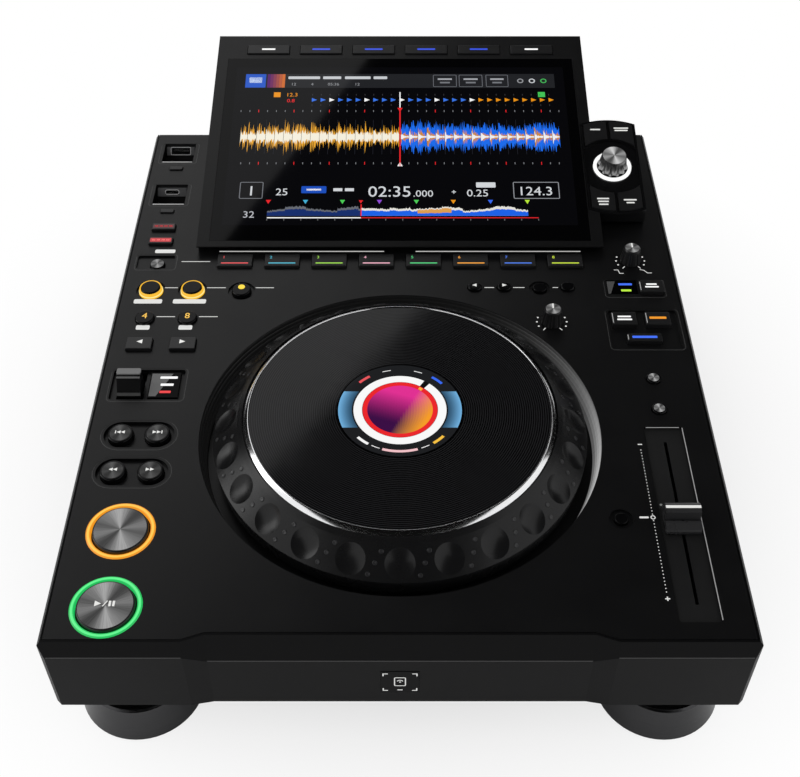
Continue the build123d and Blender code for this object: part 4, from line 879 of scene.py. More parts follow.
NODE_FINISHES: dict[str, Finish] = {
    "lower_case": Finish("case_black", (0.003, 0.003, 0.0032), 0.36, specular=0.07, dust=0.005),
    "top_panel": Finish("deck_black", (0.0036, 0.0036, 0.0039), 0.34, specular=0.26, dust=0.03),
    "screen_housing": Finish("housing_black", (0.0045, 0.0045, 0.0048), 0.34, specular=0.26, dust=0.03),
    "selector_pod": Finish("pod_black", (0.003, 0.003, 0.0033), 0.2, Texture.SMOOTH, specular=0.3),
    "screen_glass": Finish("cover_glass", (0.001, 0.001, 0.0012), 0.05, Texture.SMOOTH, specular=0.14,
                           vary=0.03, bump=0.02),
    "jog_ring": Finish("ring_black", (0.0055, 0.0055, 0.0058), 0.27, specular=0.26, fine=3200.0, dust=0.05),
    "jog_trim_ring": Finish("bright_ring", (0.85, 0.85, 0.86), 0.14, Texture.SMOOTH, metallic=1.0, bump=0.0,
                            vary=0.02, shade=0.04),
    "jog_disc": Finish("grooved_black", (0.0065, 0.0065, 0.007), 0.09, Texture.RINGS, specular=0.24,
                       centre=(0.0, JOG_Y), pitch=1.15, bump=0.06, shade=0.85),
    "jog_bearing": Finish("machined_grey", grey(0.5), 0.3, Texture.SPUN, metallic=1.0, centre=(0.0, JOG_Y)),
    "jog_display": Finish("display_glass", (0.003, 0.003, 0.0035), 0.08, Texture.SMOOTH, specular=0.2,
                          bump=0.02),
    "feet": Finish("turned_black", (0.06, 0.06, 0.062), 0.22, Texture.LEVELS, metallic=0.95, bump=0.3),
    "foot_pads": Finish("rubber_black", grey(0.015), 0.8, fine=1500.0, bump=0.5),
    "rear_panel": Finish("powder_black", (0.02, 0.02, 0.021), 0.5, fine=1800.0, bump=0.5, depth=0.05),
    "rear_sockets": Finish("socket_plastic", grey(0.02), 0.45),
    "power_inlet": Finish("inlet_plastic", grey(0.015), 0.5),
    "case_screws": Finish("blackened_steel", (0.08, 0.08, 0.085), 0.35, Texture.SPUN, metallic=1.0),
    "usb_bezels": Finish("plate_grey", (0.05, 0.05, 0.052), 0.35),
    "usb_ports": Finish("plated_steel", grey(0.6), 0.25, Texture.BRUSHED, metallic=1.0),
    "trim_windows": Finish("window_black", (0.001, 0.001, 0.0012), 0.06, Texture.SMOOTH, specular=0.06,
                           bump=0.02),
    "selector_knob": Finish("knob_metal", grey(0.3), 0.3, Texture.SPUN, metallic=1.0, centre=(133.6, 111.0)),
    "selector_shaft": Finish("shaft_steel", grey(0.5), 0.3, Texture.BRUSHED, metallic=1.0),
    "power_supply": Finish("can_metal", (0.35, 0.36, 0.37), 0.35, Texture.BRUSHED, metallic=1.0),
    "fader_module": Finish("fader_metal", grey(0.3), 0.4, Texture.BRUSHED, metallic=1.0),
    "main_board": Finish("board_green", (0.02, 0.09, 0.05), 0.4),
    "key_board": Finish("board_black", (0.004, 0.0045, 0.0045), 0.4, specular=0.2),
    "screen_module": Finish("module_dark", grey(0.03), 0.5),
    "direction_lever": Finish("lever_black", (0.002, 0.002, 0.0022), 0.3, specular=0.16, fine=2600.0),
    "fader_cap": Finish("cap_black", (0.02, 0.02, 0.021), 0.3, specular=0.6, fine=1800.0),
}
KEY_RUBBER = Finish("pad_rubber", (0.009, 0.009, 0.0095), 0.45, specular=0.35, fine=2000.0, bump=0.35,
                    dust=0.08)
KEY_GLOSS = Finish("key_gloss", (0.002, 0.002, 0.0022), 0.14, Texture.SMOOTH, specular=0.16, bump=0.05)
KEY_SATIN = Finish("key_satin", (0.0075, 0.0075, 0.008), 0.32, specular=0.4, fine=2600.0)


@dataclass
class CadFinishes:
    """Gives each CAD node its finish."""

    gloss: tuple[str, ...] = ("beat_loop_keys", "loop_in_key", "loop_out_key", "reloop_key", "memory_keys",
                              "delete_key", "pad_delete_key", "track_search_keys", "search_keys", "tempo_keys",
                              "tempo_reset_key")

    def finish_of(self, node: str) -> Finish:
        """The finish of one node: its own, or that of its kind of key."""
        plain = KEY_RUBBER if node.startswith("hot_cue_pad") else KEY_SATIN
        return NODE_FINISHES.get(node, KEY_GLOSS if node in self.gloss else plain)

    def build(self, nodes: dict[str, bpy.types.Object]) -> None:
        """Put the finishes on the nodes' material slots.

        Args:
            nodes: The model's nodes by name.
        """
        for name, node in nodes.items():
            made = self.finish_of(name).material()
            for place in node.material_slots:
                place.material = made
            LOG.info("%s: %s", name, made.name)


def srgb(red: int, green: int, blue: int) -> Colour:
    """A linear colour from screen values of 0 to 255."""
    parts = np.array([red, green, blue]) / 255
    return tuple(float(v) for v in np.where(parts <= 0.04045, parts / 12.92, ((parts + 0.055) / 1.055) ** 2.4))


ORANGE, AMBER, YELLOW = srgb(240, 150, 24), srgb(255, 200, 70), srgb(255, 220, 40)
GREEN, MINT, LIME, LEAF = srgb(24, 190, 90), srgb(90, 245, 140), srgb(190, 240, 60), srgb(80, 210, 90)
RED, ROSE, PINK = srgb(240, 40, 45), srgb(240, 90, 95), srgb(250, 200, 205)
BLUE, SKY = srgb(60, 110, 250), srgb(70, 180, 220)
DARK, DIM, GREY = srgb(16, 16, 16), srgb(60, 60, 62), srgb(120, 120, 120)
SLATE, STEEL, SILVER, PALE = srgb(120, 122, 128), srgb(150, 152, 156), srgb(205, 208, 212), srgb(215, 218, 222)
BRIGHT: Colour = (1.0, 1.0, 1.0)
# Pale grey of the painted highlights along key edges, and the colour of the dials' turned tops.
HIGHLIGHT_AND_DIAL_GREY = grey(0.35)
RECESS_BLACK: Colour = (0.007, 0.007, 0.0072)

# Used for print, and also for pale strips that are painted highlights and painted reflections.
PRINT_AND_PAINTED_HIGHLIGHT = Finish("print_and_painted_highlights", WHITE, 0.45, Texture.SMOOTH, tinted=True, bump=0.05, shade=0.05, vary=0.05)
# Print that also glows: painted light that keeps white print bright in shade.
PRINT_WITH_PAINTED_GLOW = Finish("print_with_painted_glow", grey(0.25), 0.45, Texture.SMOOTH, tinted=True, glow=0.62, bump=0.05, shade=0.05)
LIT = Finish("lit_lens", grey(0.02), 0.3, Texture.SMOOTH, tinted=True, glow=1.0, bump=0.02, shade=0.04)
SCREEN_LIT = Finish("screen_lit", (0.001, 0.001, 0.0012), 0.05, Texture.SMOOTH, tinted=True, glow=0.95,
                    specular=0.14, bump=0.01, shade=0.02, vary=0.02)


def raised(height: float) -> Plane:
    """The level plane at some height over the deck."""
    return Plane((0.0, 0.0, DECK_Z + height))


def shown(marks: Print, name: str) -> None:
    """Make the piece of marks that one of the two screens shows."""
    marks.piece(name, Body.BASE, SCREEN_LIT)


def turned_face(name: str, body: Body | str, plane: Plane, place: Pair, profile: Sequence[tuple],
                metal: Finish, steps: int = 64) -> None:
    """A thin turned plate with a rounded rim on a key or a knob.

    Args:
        name: The piece's name.
        body: The body it rides on.
        plane: The plane its axis stands on.
        place: The axis's place on that plane.
        profile: Radius and height of the plate's edge, from its seat up to its flat top.
        metal: Its finish.
        steps: Points round it.
    """
    soup = Soup()
    (_, seat), (_, top) = profile[0], profile[-1]
    lathe(soup, [*profile, (0.0, top), (0.0, seat), profile[0]], plane, *place, steps)
    soup.piece(name, body, metal)


# ================================================================ marks on the deck
@dataclass
class DeckMarks:
    """Print on the deck, the outlines of its recesses with painted highlights on their edges, the sockets' rims
    and painted highlights along the front band's edges.
    """

    line: float = 0.5
    pad_line: Pair = (49.8, 0.75)
    pad_runs: tuple[Pair, ...] = ((-109.3, -9.7), (9.5, 109.3))
    runs: Rows = (
        (-131.2, -114.0, 40.3), (-138.0, -130.4, 16.6), (-113.3, -102.2, 16.6), (-84.7, -74.0, 16.6),
        (-139.5, -128.9, -8.4), (-115.2, -104.4, -8.4), (49.6, 55.2, 16.8), (66.4, 73.1, 16.8),
        (89.6, 92.8, 16.8))
    plates: Rows = (
        (-146.3, 4.7, 16.4, 3.7), (-122.2, 4.7, 19.2, 3.7), (-146.1, -17.4, 7.8, 3.7),
        (-121.9, -17.4, 7.8, 3.7), (-142.2, 49.9, 12.2, 3.3))
    plate_corner: float = 0.9
    dials: tuple[Pair, ...] = ((86.6, -12.7), (138.3, 40.9))
    dot_turns: tuple[float, ...] = (155.0, 180.0, 205.0, -25.0, 0.0, 25.0)
    dot_circle: float = 8.5
    dot: float = 0.55
    end_turns: tuple[float, ...] = (232.0, -52.0)
    end_circle: float = 7.6
    end_line: Pair = (2.2, 0.5)
    brackets: tuple[tuple[Pair, ...], ...] = (
        ((127.6, 32.6), (129.9, 32.6), (130.6, 29.5), (132.8, 29.5)),
        ((143.0, 33.0), (145.2, 32.4), (147.2, 29.9), (149.6, 29.9)))
    bracket_line: float = 0.45
    scale_x: float = 124.3
    scale_zero: float = -153.5
    scale_reach: float = 43.9
    scale_steps: int = 22
    scale_dot: float = 0.3
    sign_reach: float = 47.7
    sign: Pair = (2.3, 0.6)
    recesses: Rows = (
        (-146.5, 150.9, 24.6, 22.6, 2.4), (-146.5, 106.0, 24.6, 22.6, 2.4), (-136.2, -98.9, 40.0, 20.4, 10.2),
        (-136.2, -124.3, 40.0, 20.4, 10.2), (-137.0, -62.5, 41.4, 24.4, 2.6), (137.6, 16.2, 35.2, 15.2, 2.0),
        (138.7, -18.6, 41.6, 33.2, 2.6), (-146.5, 39.9, 24.4, 13.8, 2.2))
    # Painted highlights on the lit edges of the fader's recess and of the two socket recesses.
    fader_edge_highlights: Rows = (
        (147.9, -153.5, 0.5, 118.6), (137.6, -94.0, 17.5, 0.5))
    recess_edge_highlights: Rows = ((-146.5, 141.3, 19.8, 0.6), (-146.5, 96.3, 19.8, 0.6))
    sockets: Rows = ((151.4, 13.4, 5.4, 1.0), (106.4, 9.2, 3.2, 1.5))
    socket_seat: Place = (-146.5, 7.23, 83.23)
    # Painted highlights along the front band's lower edges: x from, x to, y and z of each, then their width.
    band_highlights: Rows = (
        (-161.5, -99.8, -227.5, 78.0), (99.8, 161.5, -227.5, 78.0), (-88.6, 88.6, -225.6, 72.3))
    band_highlight_width: float = 0.32

    def build(self) -> None:
        """Draw everything that's printed on the deck, and the painted highlights on its edges."""
        ink = Print()
        for x0, x1 in self.pad_runs:
            ink.bar((x0 + x1) / 2, self.pad_line[0], x1 - x0, self.pad_line[1])
        for x0, x1, y in self.runs:
            ink.bar((x0 + x1) / 2, y, x1 - x0, self.line)
        ink.bars(self.plates, corner=self.plate_corner)
        for x, y in self.dials:
            self.dial_scale(ink, x, y)
        for bracket in self.brackets:
            ink.path(bracket, self.bracket_line)
        self.fader_scale(ink)
        ink.piece("deck_marks", Body.BASE, PRINT_WITH_PAINTED_GLOW)
        self.outlines()
        self.socket_faces()
        self.front_highlights()

    def dial_scale(self, ink: Print, x: float, y: float) -> None:
        """Three dots at each side of a dial and a short line at each end of its travel.

        Args:
            ink: Where they go.
            x: The dial's place across.
            y: The dial's place along.
        """
        for turn in self.dot_turns:
            ink.disc(*(self.dot_circle * circle(1, turn)[0] + (x, y)), self.dot, steps=12)
        for turn in self.end_turns:
            ink.bar(*(self.end_circle * circle(1, turn)[0] + (x, y)), *self.end_line, turn=turn)

    def fader_scale(self, ink: Print) -> None:
        """Dots along the fader, a ring and a bar at zero, and a minus and a plus at the ends.

        Args:
            ink: Where they go.
        """
        x, zero, (long, short) = self.scale_x, self.scale_zero, self.sign
        step = self.scale_reach / self.scale_steps
        for n in range(-self.scale_steps, self.scale_steps + 1):
            if n:
                ink.disc(x, zero + n * step, self.scale_dot, steps=8)
        ink.ring(x, zero, 1.25, 0.75, steps=24)
        ink.bar(x - 4.4, zero, 4.6, 1.1, corner=0.4)
        ink.bars(((x, zero + self.sign_reach, long, short), (x, zero - self.sign_reach, long, short),
                  (x, zero - self.sign_reach, short, long)))

    def outlines(self) -> None:
        """Fine dark grooves round the recesses, each with a painted highlight along its lit edge, and painted
        highlights on the pale edges of two of them.
        """
        edge = Print(lift=0.005, thick=0.02)
        for x, y, width, height, corner in self.recesses:
            edge.frame(x, y, width, height, corner, 0.28, grey(0.002))
            # A painted highlight along the groove's lit edge.
            edge.frame(x + 0.12, y - 0.3, width + 0.5, height + 0.5, corner + 0.2, 0.16, grey(0.075))
        edge.bars(self.fader_edge_highlights, grey(0.3))
        edge.bars(self.recess_edge_highlights, grey(0.6))
        edge.piece("recess_grooves_and_highlights", Body.BASE, PRINT_AND_PAINTED_HIGHLIGHT)

    def socket_faces(self) -> None:
        """The rims and mouths of the two media sockets, on their sloping plates."""
        soup = Soup()
        x, back, z = self.socket_seat
        for y, width, height, corner in self.sockets:
            plate = Plane((x, y + back, z), along=(0.0, 0.70711, 0.70711))
            face = Print(plate, lift=0.82, thick=0.04, soup=soup)
            face.frame(0.0, 0.0, width, height, corner, 0.4, grey(0.32))
            face.frame(0.0, 0.0, width - 0.8, height - 0.8, corner, 0.3, DARK)
        soup.piece("socket_rims", Body.BASE, PRINT_AND_PAINTED_HIGHLIGHT)

    def front_highlights(self) -> None:
        """Painted highlights: lighter lines along the lower edges of the front band."""
        soup = Soup()
        for x0, x1, y, z in self.band_highlights:
            line = Print(Plane((0.0, y, z), along=(0.0, 0.3162, 0.9487)), lift=0.01, thick=0.03, soup=soup)
            line.bar((x0 + x1) / 2, 0.3, x1 - x0, self.band_highlight_width, grey(0.055))
        soup.piece("front_edge_highlights", Body.BASE, PRINT_AND_PAINTED_HIGHLIGHT)


# ================================================================ lit rings
@dataclass
class LightRings:
    """Lit rings round the two large keys, the two loop keys and the selector, as closed profiles."""

    transport: tuple[tuple[float, Colour, Colour], ...] = ((-161.8, ORANGE, AMBER), (-205.7, GREEN, MINT))
    transport_x: float = -135.9
    loop_y: float = 14.5
    loop_x: Pair = (-145.9, -121.5)
    loop_tints: tuple[Colour, Colour] = (srgb(250, 190, 40), srgb(255, 236, 150))
    pod: Pair = (133.6, 64.8)
    profiles: tuple[tuple[Pair, ...], ...] = (
        ((14.5, -1.9), (16.9, -1.9), (16.9, 0.2), (16.55, 0.5), (14.9, 0.5), (14.5, 0.3), (14.5, -1.9)),
        ((15.1, 0.49), (16.3, 0.49), (16.1, 0.6), (15.3, 0.6), (15.1, 0.49)),
        ((6.0, -1.1), (7.05, -1.1), (6.95, 0.0), (6.6, 0.3), (6.5, 1.7), (6.35, 2.1), (6.0, 2.1), (6.0, -1.1)),
        ((6.62, 0.34), (6.62, 0.0), (6.98, -0.25), (6.98, 0.04), (6.62, 0.34)),
        ((9.8, -0.95), (12.0, -0.95), (12.0, 0.0), (11.7, 0.25), (10.0, 0.25), (9.8, 0.05), (9.8, -0.95)))

    def build(self) -> None:
        """Make one lit piece of all the rings, each with a brighter core where it has one."""
        soup = Soup()
        ring, ring_core, loop, loop_core, dish = self.profiles
        for y, edge, core in self.transport:
            lathe(soup, ring, raised(0), self.transport_x, y, 96, edge)
            lathe(soup, ring_core, raised(0), self.transport_x, y, 96, core)
        for x in self.loop_x:
            for profile, tint in zip((loop, loop_core), self.loop_tints):
                lathe(soup, profile, raised(0), x, self.loop_y, 48, tint)
        lathe(soup, dish, SLOPE, *self.pod, 64, BRIGHT)
        piece = soup.piece("lit_rings", Body.BASE, LIT, True, "light_rings")
        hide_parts("light_rings")


# ================================================================ keys
@dataclass(frozen=True)
class LitMarks:
    """Lit marks of one kind on a key's top: a height over the deck, and a row of values for each."""

    name: str
    body: str
    height: float
    draw: Callable[..., None]
    rows: tuple[tuple, ...]

    def build(self) -> None:
        """Draw them all and make their piece."""
        marks = Print(raised(self.height))
        for row in self.rows:
            self.draw(marks, *row)
        marks.piece(self.name, self.body, LIT)


SMALL_MARKS = (
    LitMarks("call_arrows", "memory_keys_cap", 1.6, Print.arrow, (
        (43.6, 17.2, 2.6, 180.0), (61.3, 17.2, 2.6, 0.0))),
    LitMarks("loop_numbers", "beat_loop_keys_cap", 1.8, Print.text, (
        ("4", -145.9, -9.4, 4.4, AMBER), ("8", -121.5, -9.4, 4.4, AMBER))),
    LitMarks("reloop_dot", "reloop_key_cap", 1.6, Print.disc, ((-92.8, 15.6, 2.0, YELLOW),)),
    LitMarks("beat_jump_arrows", "beat_jump_keys_cap", 2.0, Print.arrow, (
        (-145.7, -30.9, 3.2, 180.0), (-121.7, -30.9, 3.2, 0.0))),
    LitMarks("sync_marks", "sync_keys_cap", 2.2, Print.bar, (
        (127.9, -10.6, 7.6, 1.2, BRIGHT, 0.0, 0.3), (127.9, -13.0, 8.4, 1.2, BRIGHT, 0.0, 0.3),
        (147.0, -11.6, 9.6, 1.8, ORANGE, 0.0, 0.3))),
    LitMarks("key_sync_mark", "key_sync_key_cap", 1.8, Print.bar, ((137.5, -27.0, 14.0, 1.8, BLUE, 0.0, 0.3),)),
    LitMarks("jog_mode_marks", "jog_mode_key_cap", 2.4, Print.bar, (
        (147.3, 17.1, 6.2, 1.2, BRIGHT, 0.0, 0.3), (147.3, 14.8, 8.0, 1.2, BRIGHT, 0.0, 0.3))),
    LitMarks("master_tempo_light", "tempo_keys_cap", 1.2, Print.disc, (
        (137.9, -80.7, 1.5, srgb(250, 70, 70)),)),
)


@dataclass
class KeyMarks:
    """Marks on the tops of the keys: numbers, arrows, coloured bars, painted highlights along some edges, and
    brushed faces with painted highlight lobes.
    """

    pad_y: float = 39.9
    pad_pitch: float = 28.25
    pad_top: float = 1.8
    pad_tints: tuple[Colour, ...] = (
        srgb(225, 70, 75), srgb(60, 175, 200), srgb(150, 215, 60), srgb(235, 170, 190), srgb(70, 205, 120),
        srgb(245, 160, 50), srgb(70, 120, 230), srgb(200, 225, 60))
    mode_keys: tuple[tuple[float, Colour, Colour], ...] = ((72.0, srgb(70, 16, 20), srgb(200, 60, 66)),
                                                           (58.6, srgb(190, 36, 44), srgb(250, 130, 130)))
    menu_pitch: float = 35.4
    menu_along: float = 169.4
    # Painted highlights: a pale strip on the lit left edge of four keys, as name, body, height, x, y and
    # length.
    edges: tuple[tuple[str, str, float, float, float, float], ...] = (
        ("jog_mode_edge_highlight", "jog_mode_key_cap", 2.4, 140.65, 15.6, 7.4),
        ("sync_edge_highlight", "sync_keys_cap", 2.2, 121.3, -11.7, 8.2),
        ("master_edge_highlight", "sync_keys_cap", 2.2, 140.45, -11.7, 8.2),
        ("key_sync_edge_highlight", "key_sync_key_cap", 1.8, 128.2, -27.1, 4.0))
    selector_keys: Rows = (
        (125.3, 95.4, 6.4, 1.1), (141.9, 96.6, 9.4, 1.1), (141.9, 94.6, 8.4, 1.1), (125.3, 37.2, 7.4, 1.1),
        (125.3, 34.9, 6.6, 1.1), (125.3, 32.6, 5.8, 1.1), (141.9, 36.2, 8.0, 1.1), (141.9, 33.9, 5.0, 1.1))
    search_x: Pair = (-145.8, -126.6)
    searches: tuple[tuple[str, float, bool], ...] = (
        ("track_search_keys", -98.9, True), ("search_keys", -124.3, False))
    transport_x: float = -135.9
    transport_y: tuple[tuple[str, float], ...] = (("cue", -161.8), ("play", -205.7))
    sign_y: float = -204.9

    def build(self) -> None:
        """Mark every key that carries a mark."""
        for n, tint in enumerate(self.pad_tints):
            x = (n - 3.5) * self.pad_pitch
            marks = Print(raised(self.pad_top))
            marks.bar(x, self.pad_y - 3.0, 16.2, 0.9, tint, corner=0.2)
            marks.text(str(n + 1), x - 6.8, self.pad_y + 2.4, 2.3, tint)
            marks.piece(f"pad_{n + 1}_marks", f"hot_cue_pad_{n + 1}_cap", LIT)
        self.mode_marks()
        for small in SMALL_MARKS:
            small.build()
        self.menu_marks()
        # Painted highlights along the keys' lit left edges.
        for name, body, height, x, y, long in self.edges:
            rim = Print(raised(height - 0.05), lift=0.0, thick=0.07)
            rim.bar(x, y, 0.5, long, HIGHLIGHT_AND_DIAL_GREY, corner=0.2)
            rim.piece(name, body, PRINT_AND_PAINTED_HIGHLIGHT)
        pod = Print(SLOPE, lift=0.82)
        pod.bars(self.selector_keys, corner=0.3)
        pod.piece("selector_key_marks", Body.SELECTOR_KEYS, PRINT_AND_PAINTED_HIGHLIGHT)
        self.search_marks()
        self.transport()

    def mode_marks(self) -> None:
        """A coloured plate with four short bars on each mode key."""
        marks = Print(raised(1.8))
        for y, ground, tint in self.mode_keys:
            marks.bar(-145.9, y, 12.8, 3.6, ground, corner=0.5)
            marks.bars([(-150.2 + 2.9 * n, y, 2.1, 1.3) for n in range(4)], tint)
        marks.piece("mode_key_marks", "mode_keys_cap", LIT)

    def menu_marks(self) -> None:
        """A short bar on each menu key, white on the outer two and blue on the others."""
        menu = Print(SLOPE, lift=0.92)
        for n in range(6):
            width, tint = (9.0, BRIGHT) if n in (0, 5) else (12.0, srgb(40, 75, 225))
            menu.bar((n - 2.5) * self.menu_pitch, self.menu_along, width, 1.4, tint, corner=0.4)
        menu.piece("menu_marks", Body.MENU, LIT)

    def face(self, name: str, body: str, height: float, places: Sequence[Pair], radius: float,
             tone: float) -> None:
        """Brushed faces on round keys, with a highlight painted into their colour as bright lobes.

        Args:
            name: The piece's name.
            body: The body it rides on.
            height: Height of the key's top over the deck.
            places: Centres of the keys.
            radius: Radius of a face.
            tone: Brightness of the brushed colour at its painted highlight lobes.
        """
        for n, place in enumerate(places):
            metal = Finish(f"{name}_{n}", grey(tone), 0.3, Texture.SPUN, centre=place, painted_highlight=1.0, bump=0.15,
                           specular=0.3, shade=0.3)
            profile = [(radius, height), (radius, height + 0.05), (radius - 0.12, height + 0.12)]
            turned_face(f"{name}_{n}", body, raised(0), place, profile, metal)

    def search_marks(self) -> None:
        """Brushed faces with painted highlight lobes and arrows on the four search keys, and polished faces
        with painted highlight lobes on small round keys.
        """
        for name, y, ends in self.searches:
            self.face(f"{name}_face", f"{name}_cap", 1.4, [(x, y) for x in self.search_x], 5.4, 0.07)
            icons = Print(raised(1.54))
            for x, turn, way in zip(self.search_x, (180.0, 0.0), (-1.0, 1.0)):
                for step in (-1.1, 1.1):
                    icons.arrow(x + way * (step - 0.2), y + 0.4, 2.1, turn)
                if ends:
                    icons.bar(x + way * 2.5, y + 0.4, 0.5, 2.1)
            icons.piece(f"{name}_icons", f"{name}_cap", PRINT_AND_PAINTED_HIGHLIGHT)
        self.face("pad_delete_face", "pad_delete_key_cap", 0.6, ((-145.3, 37.9),), 3.9, 0.3)
        self.face("tempo_face", "tempo_keys_cap", 1.2, ((138.1, -58.2), (137.9, -80.9)), 3.0, 0.4)

    def transport(self) -> None:
        """Brushed faces with painted highlight lobes on the two large keys, and the play and pause sign."""
        for name, y in self.transport_y:
            self.face(f"{name}_face", f"{name}_key_cap", 1.5, ((self.transport_x, y),), 12.8, 0.34)
        sign = Print(raised(1.64), thick=0.06)
        sign.arrow(-139.4, self.sign_y, 3.1, 0.0)
        sign.bar(-136.1, self.sign_y, 0.5, 3.6, turn=-32.0)
        sign.bars([(x, self.sign_y, 1.1, 3.0) for x in (-133.9, -132.1)])
        sign.piece("play_sign", "play_key_cap", PRINT_AND_PAINTED_HIGHLIGHT)


# ================================================================ platter
@dataclass
class Platter:
    """The platter's bright ring, the dots on its rim, the painted light in its well and its round display."""

    dimples: int = 24
    cone: Place = (97.65, 84.0, 12.0)
    shares: Place = (0.2, 0.51, 0.82)
    slant: float = 1.7
    top: float = 15.0
    trim: tuple[Pair, ...] = (
        (78.0, 12.0), (81.25, 12.0), (81.25, 12.75), (81.15, 13.1), (80.85, 13.45), (78.75, 15.25),
        (78.45, 15.42), (78.15, 15.5), (78.0, 15.4), (78.0, 12.0))
    dot: tuple[Pair, ...] = ((1.25, -0.15), (1.2, 0.2), (0.95, 0.36), (0.6, 0.22), (0.0, 0.2))
    first_row: float = -82.5
    wall: tuple[Pair, ...] = (
        (105.05, -0.4), (105.05, -3.0), (104.35, -5.2), (103.6, -7.5), (102.8, -10.0), (101.85, -12.9))
    # Painted light on the well's wall: each strip's brightness, and where and how wide it peaks.
    wall_light: tuple[float, ...] = (0.36, 0.5, 0.42, 0.3, 0.16)
    wall_steps: int = 160
    wall_peak: float = -32.0
    wall_spread: Pair = (42.0, 24.0)
    arcs: tuple[tuple[float, float, Colour], ...] = (
        (124.0, 14.0, ROSE), (40.0, 14.0, BLUE), (222.0, 14.0, BRIGHT), (306.0, 14.0, AMBER),
        (252.0, 36.0, PINK))
    picture_radius: float = 17.3

    def build(self) -> None:
        """Make the bright ring, the painted light in the well, the dots and the display's content."""
        ring = Soup()
        lathe(ring, self.trim, raised(0), 0.0, JOG_Y, 192)
        made = ring.piece("trim_ring", Body.JOG, NODE_FINISHES["jog_trim_ring"], True, "jog_trim_ring")
        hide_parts("jog_trim_ring")
        self.well_light()
        self.dots()
        self.display()
        self.picture()

    def well_light(self) -> None:
        """Painted light on the well's right wall: glowing strips along the wall, brightest at mid height.

        Each strip is a closed band between two radii and heights, and its painted light follows a bell of the
        angle.
        """
        soup = Soup()
        angles = np.linspace(-270.0, 90.0, self.wall_steps, endpoint=False)
        spokes = circle(self.wall_steps, -270.0)
        spread = np.where(angles > self.wall_peak, *self.wall_spread)
        bell = np.exp(-(((angles - self.wall_peak) / spread) ** 2))
        for share, (r0, z0), (r1, z1) in zip(self.wall_light, self.wall, self.wall[1:]):
            section = [(r1, z1), (r1 - 0.08, z1), (r0 - 0.08, z0), (r0, z0)]
            points = np.stack([raised(0).place(spokes * radius + (0.0, JOG_Y), height)
                               for radius, height in section], axis=1).reshape(-1, 3)
            faces = strip_faces(self.wall_steps, 4, True, True).tolist()
            soup.add(points, faces)
            soup.tints[-len(faces):] = [grey(float(share * b + 0.004)) for b in np.repeat(bell, 4)]
        glow = Finish("well_wall_painted_light", grey(0.004), 0.3, Texture.SMOOTH, tinted=True, glow=1.0, bump=0.02,
                      shade=0.04, specular=0.3)
        soup.piece("well_light", Body.BASE, glow, True)

    def dots(self) -> None:
        """Small ring-like bumps in slanting rows of three, one row between each two dimples."""
        soup = Soup()
        outer, inner, rise = self.cone
        run = float(np.hypot(outer - inner, rise))
        across_in, up = (outer - inner) / run, rise / run
        for row in range(self.dimples):
            for share, lean in zip(self.shares, (self.slant, 0.0, -self.slant)):
                angle = np.radians(self.first_row + row * 360.0 / self.dimples + lean)
                c, s = float(np.cos(angle)), float(np.sin(angle))
                radius = inner + share * (outer - inner)
                place = (radius * c, JOG_Y + radius * s, DECK_Z + rise * (1 - share))
                seat = Plane(place, (-s, c, 0.0), (-across_in * c, -across_in * s, up))
                lathe(soup, self.dot, seat, steps=12)
        bump = Finish("dot_black", (0.012, 0.012, 0.013), 0.3, fine=3200.0)
        soup.piece("rim_dots", Body.JOG, bump, True)

    def display(self) -> None:
        """The lit content of the round display: rings, side segments and arcs."""
        base = Print(raised(self.top), lift=0.01, thick=0.03)
        base.disc(0.0, JOG_Y, 32.0, srgb(30, 31, 33), 96)
        shown(base, "display_label")
        show = Print(raised(self.top), lift=0.05, thick=0.03)
        for side in (0.0, 180.0):
            for n, share in enumerate(np.linspace(0.0, 1.0, 12)):
                inner = 24.85 + 0.585 * n
                reach = float(np.degrees(np.arcsin(12.7 / (inner + 0.3))))
                tint = srgb(*(int(v) for v in np.array((48, 84, 112)) + share * np.array((66, 94, 112))))
                show.ring(0.0, JOG_Y, inner + 0.6, inner, tint, side - reach, 2 * reach, 16)
        show.ring(0.0, JOG_Y, 24.0, 19.6, BRIGHT, 58.0, 352.0, 96)
        show.ring(0.0, JOG_Y, 24.0, 19.6, DARK, 50.2, 7.6, 6)
        show.ring(0.0, JOG_Y, 19.4, 16.9, RED)
        for start, sweep, tint in self.arcs:
            show.ring(0.0, JOG_Y, 29.4, 27.9, tint, start, sweep, 20)
        for start in (100.0, 66.0, 240.0, 292.0):
            show.ring(0.0, JOG_Y, 28.8, 28.4, BRIGHT, start, 9.0, 8)
        show.ring(0.0, JOG_Y, 19.0, 17.2, AMBER, 50.0, 7.0, 6)
        shown(show, "display_rings")

    def picture(self) -> None:
        """A plain round gradient in strips: pink above, plum below, warmer towards the right."""
        art = Print(raised(self.top), lift=0.04, thick=0.02)
        pink, plum, warm = (np.array(srgb(*c)) for c in ((230, 50, 150), (60, 14, 70), (250, 160, 40)))
        for y in np.arange(-16.8, 16.9, 0.7):
            reach = float(np.sqrt(self.picture_radius ** 2 - y ** 2))
            for x in np.linspace(-reach, reach, 25)[:-1] + reach / 24:
                high = float(np.clip(0.5 + (y + 0.35 * x) / 22.0, 0.0, 1.0)) ** 1.5
                heat = float(np.clip((x - 0.5 * y - 3.0) / 14.0, 0.0, 1.0))
                tint = (plum + (pink - plum) * high) * (1 - heat) + warm * heat
                art.bar(float(x), JOG_Y + float(y), reach / 12 + 0.02, 0.72, tuple(float(v) for v in tint))
        shown(art, "display_picture")


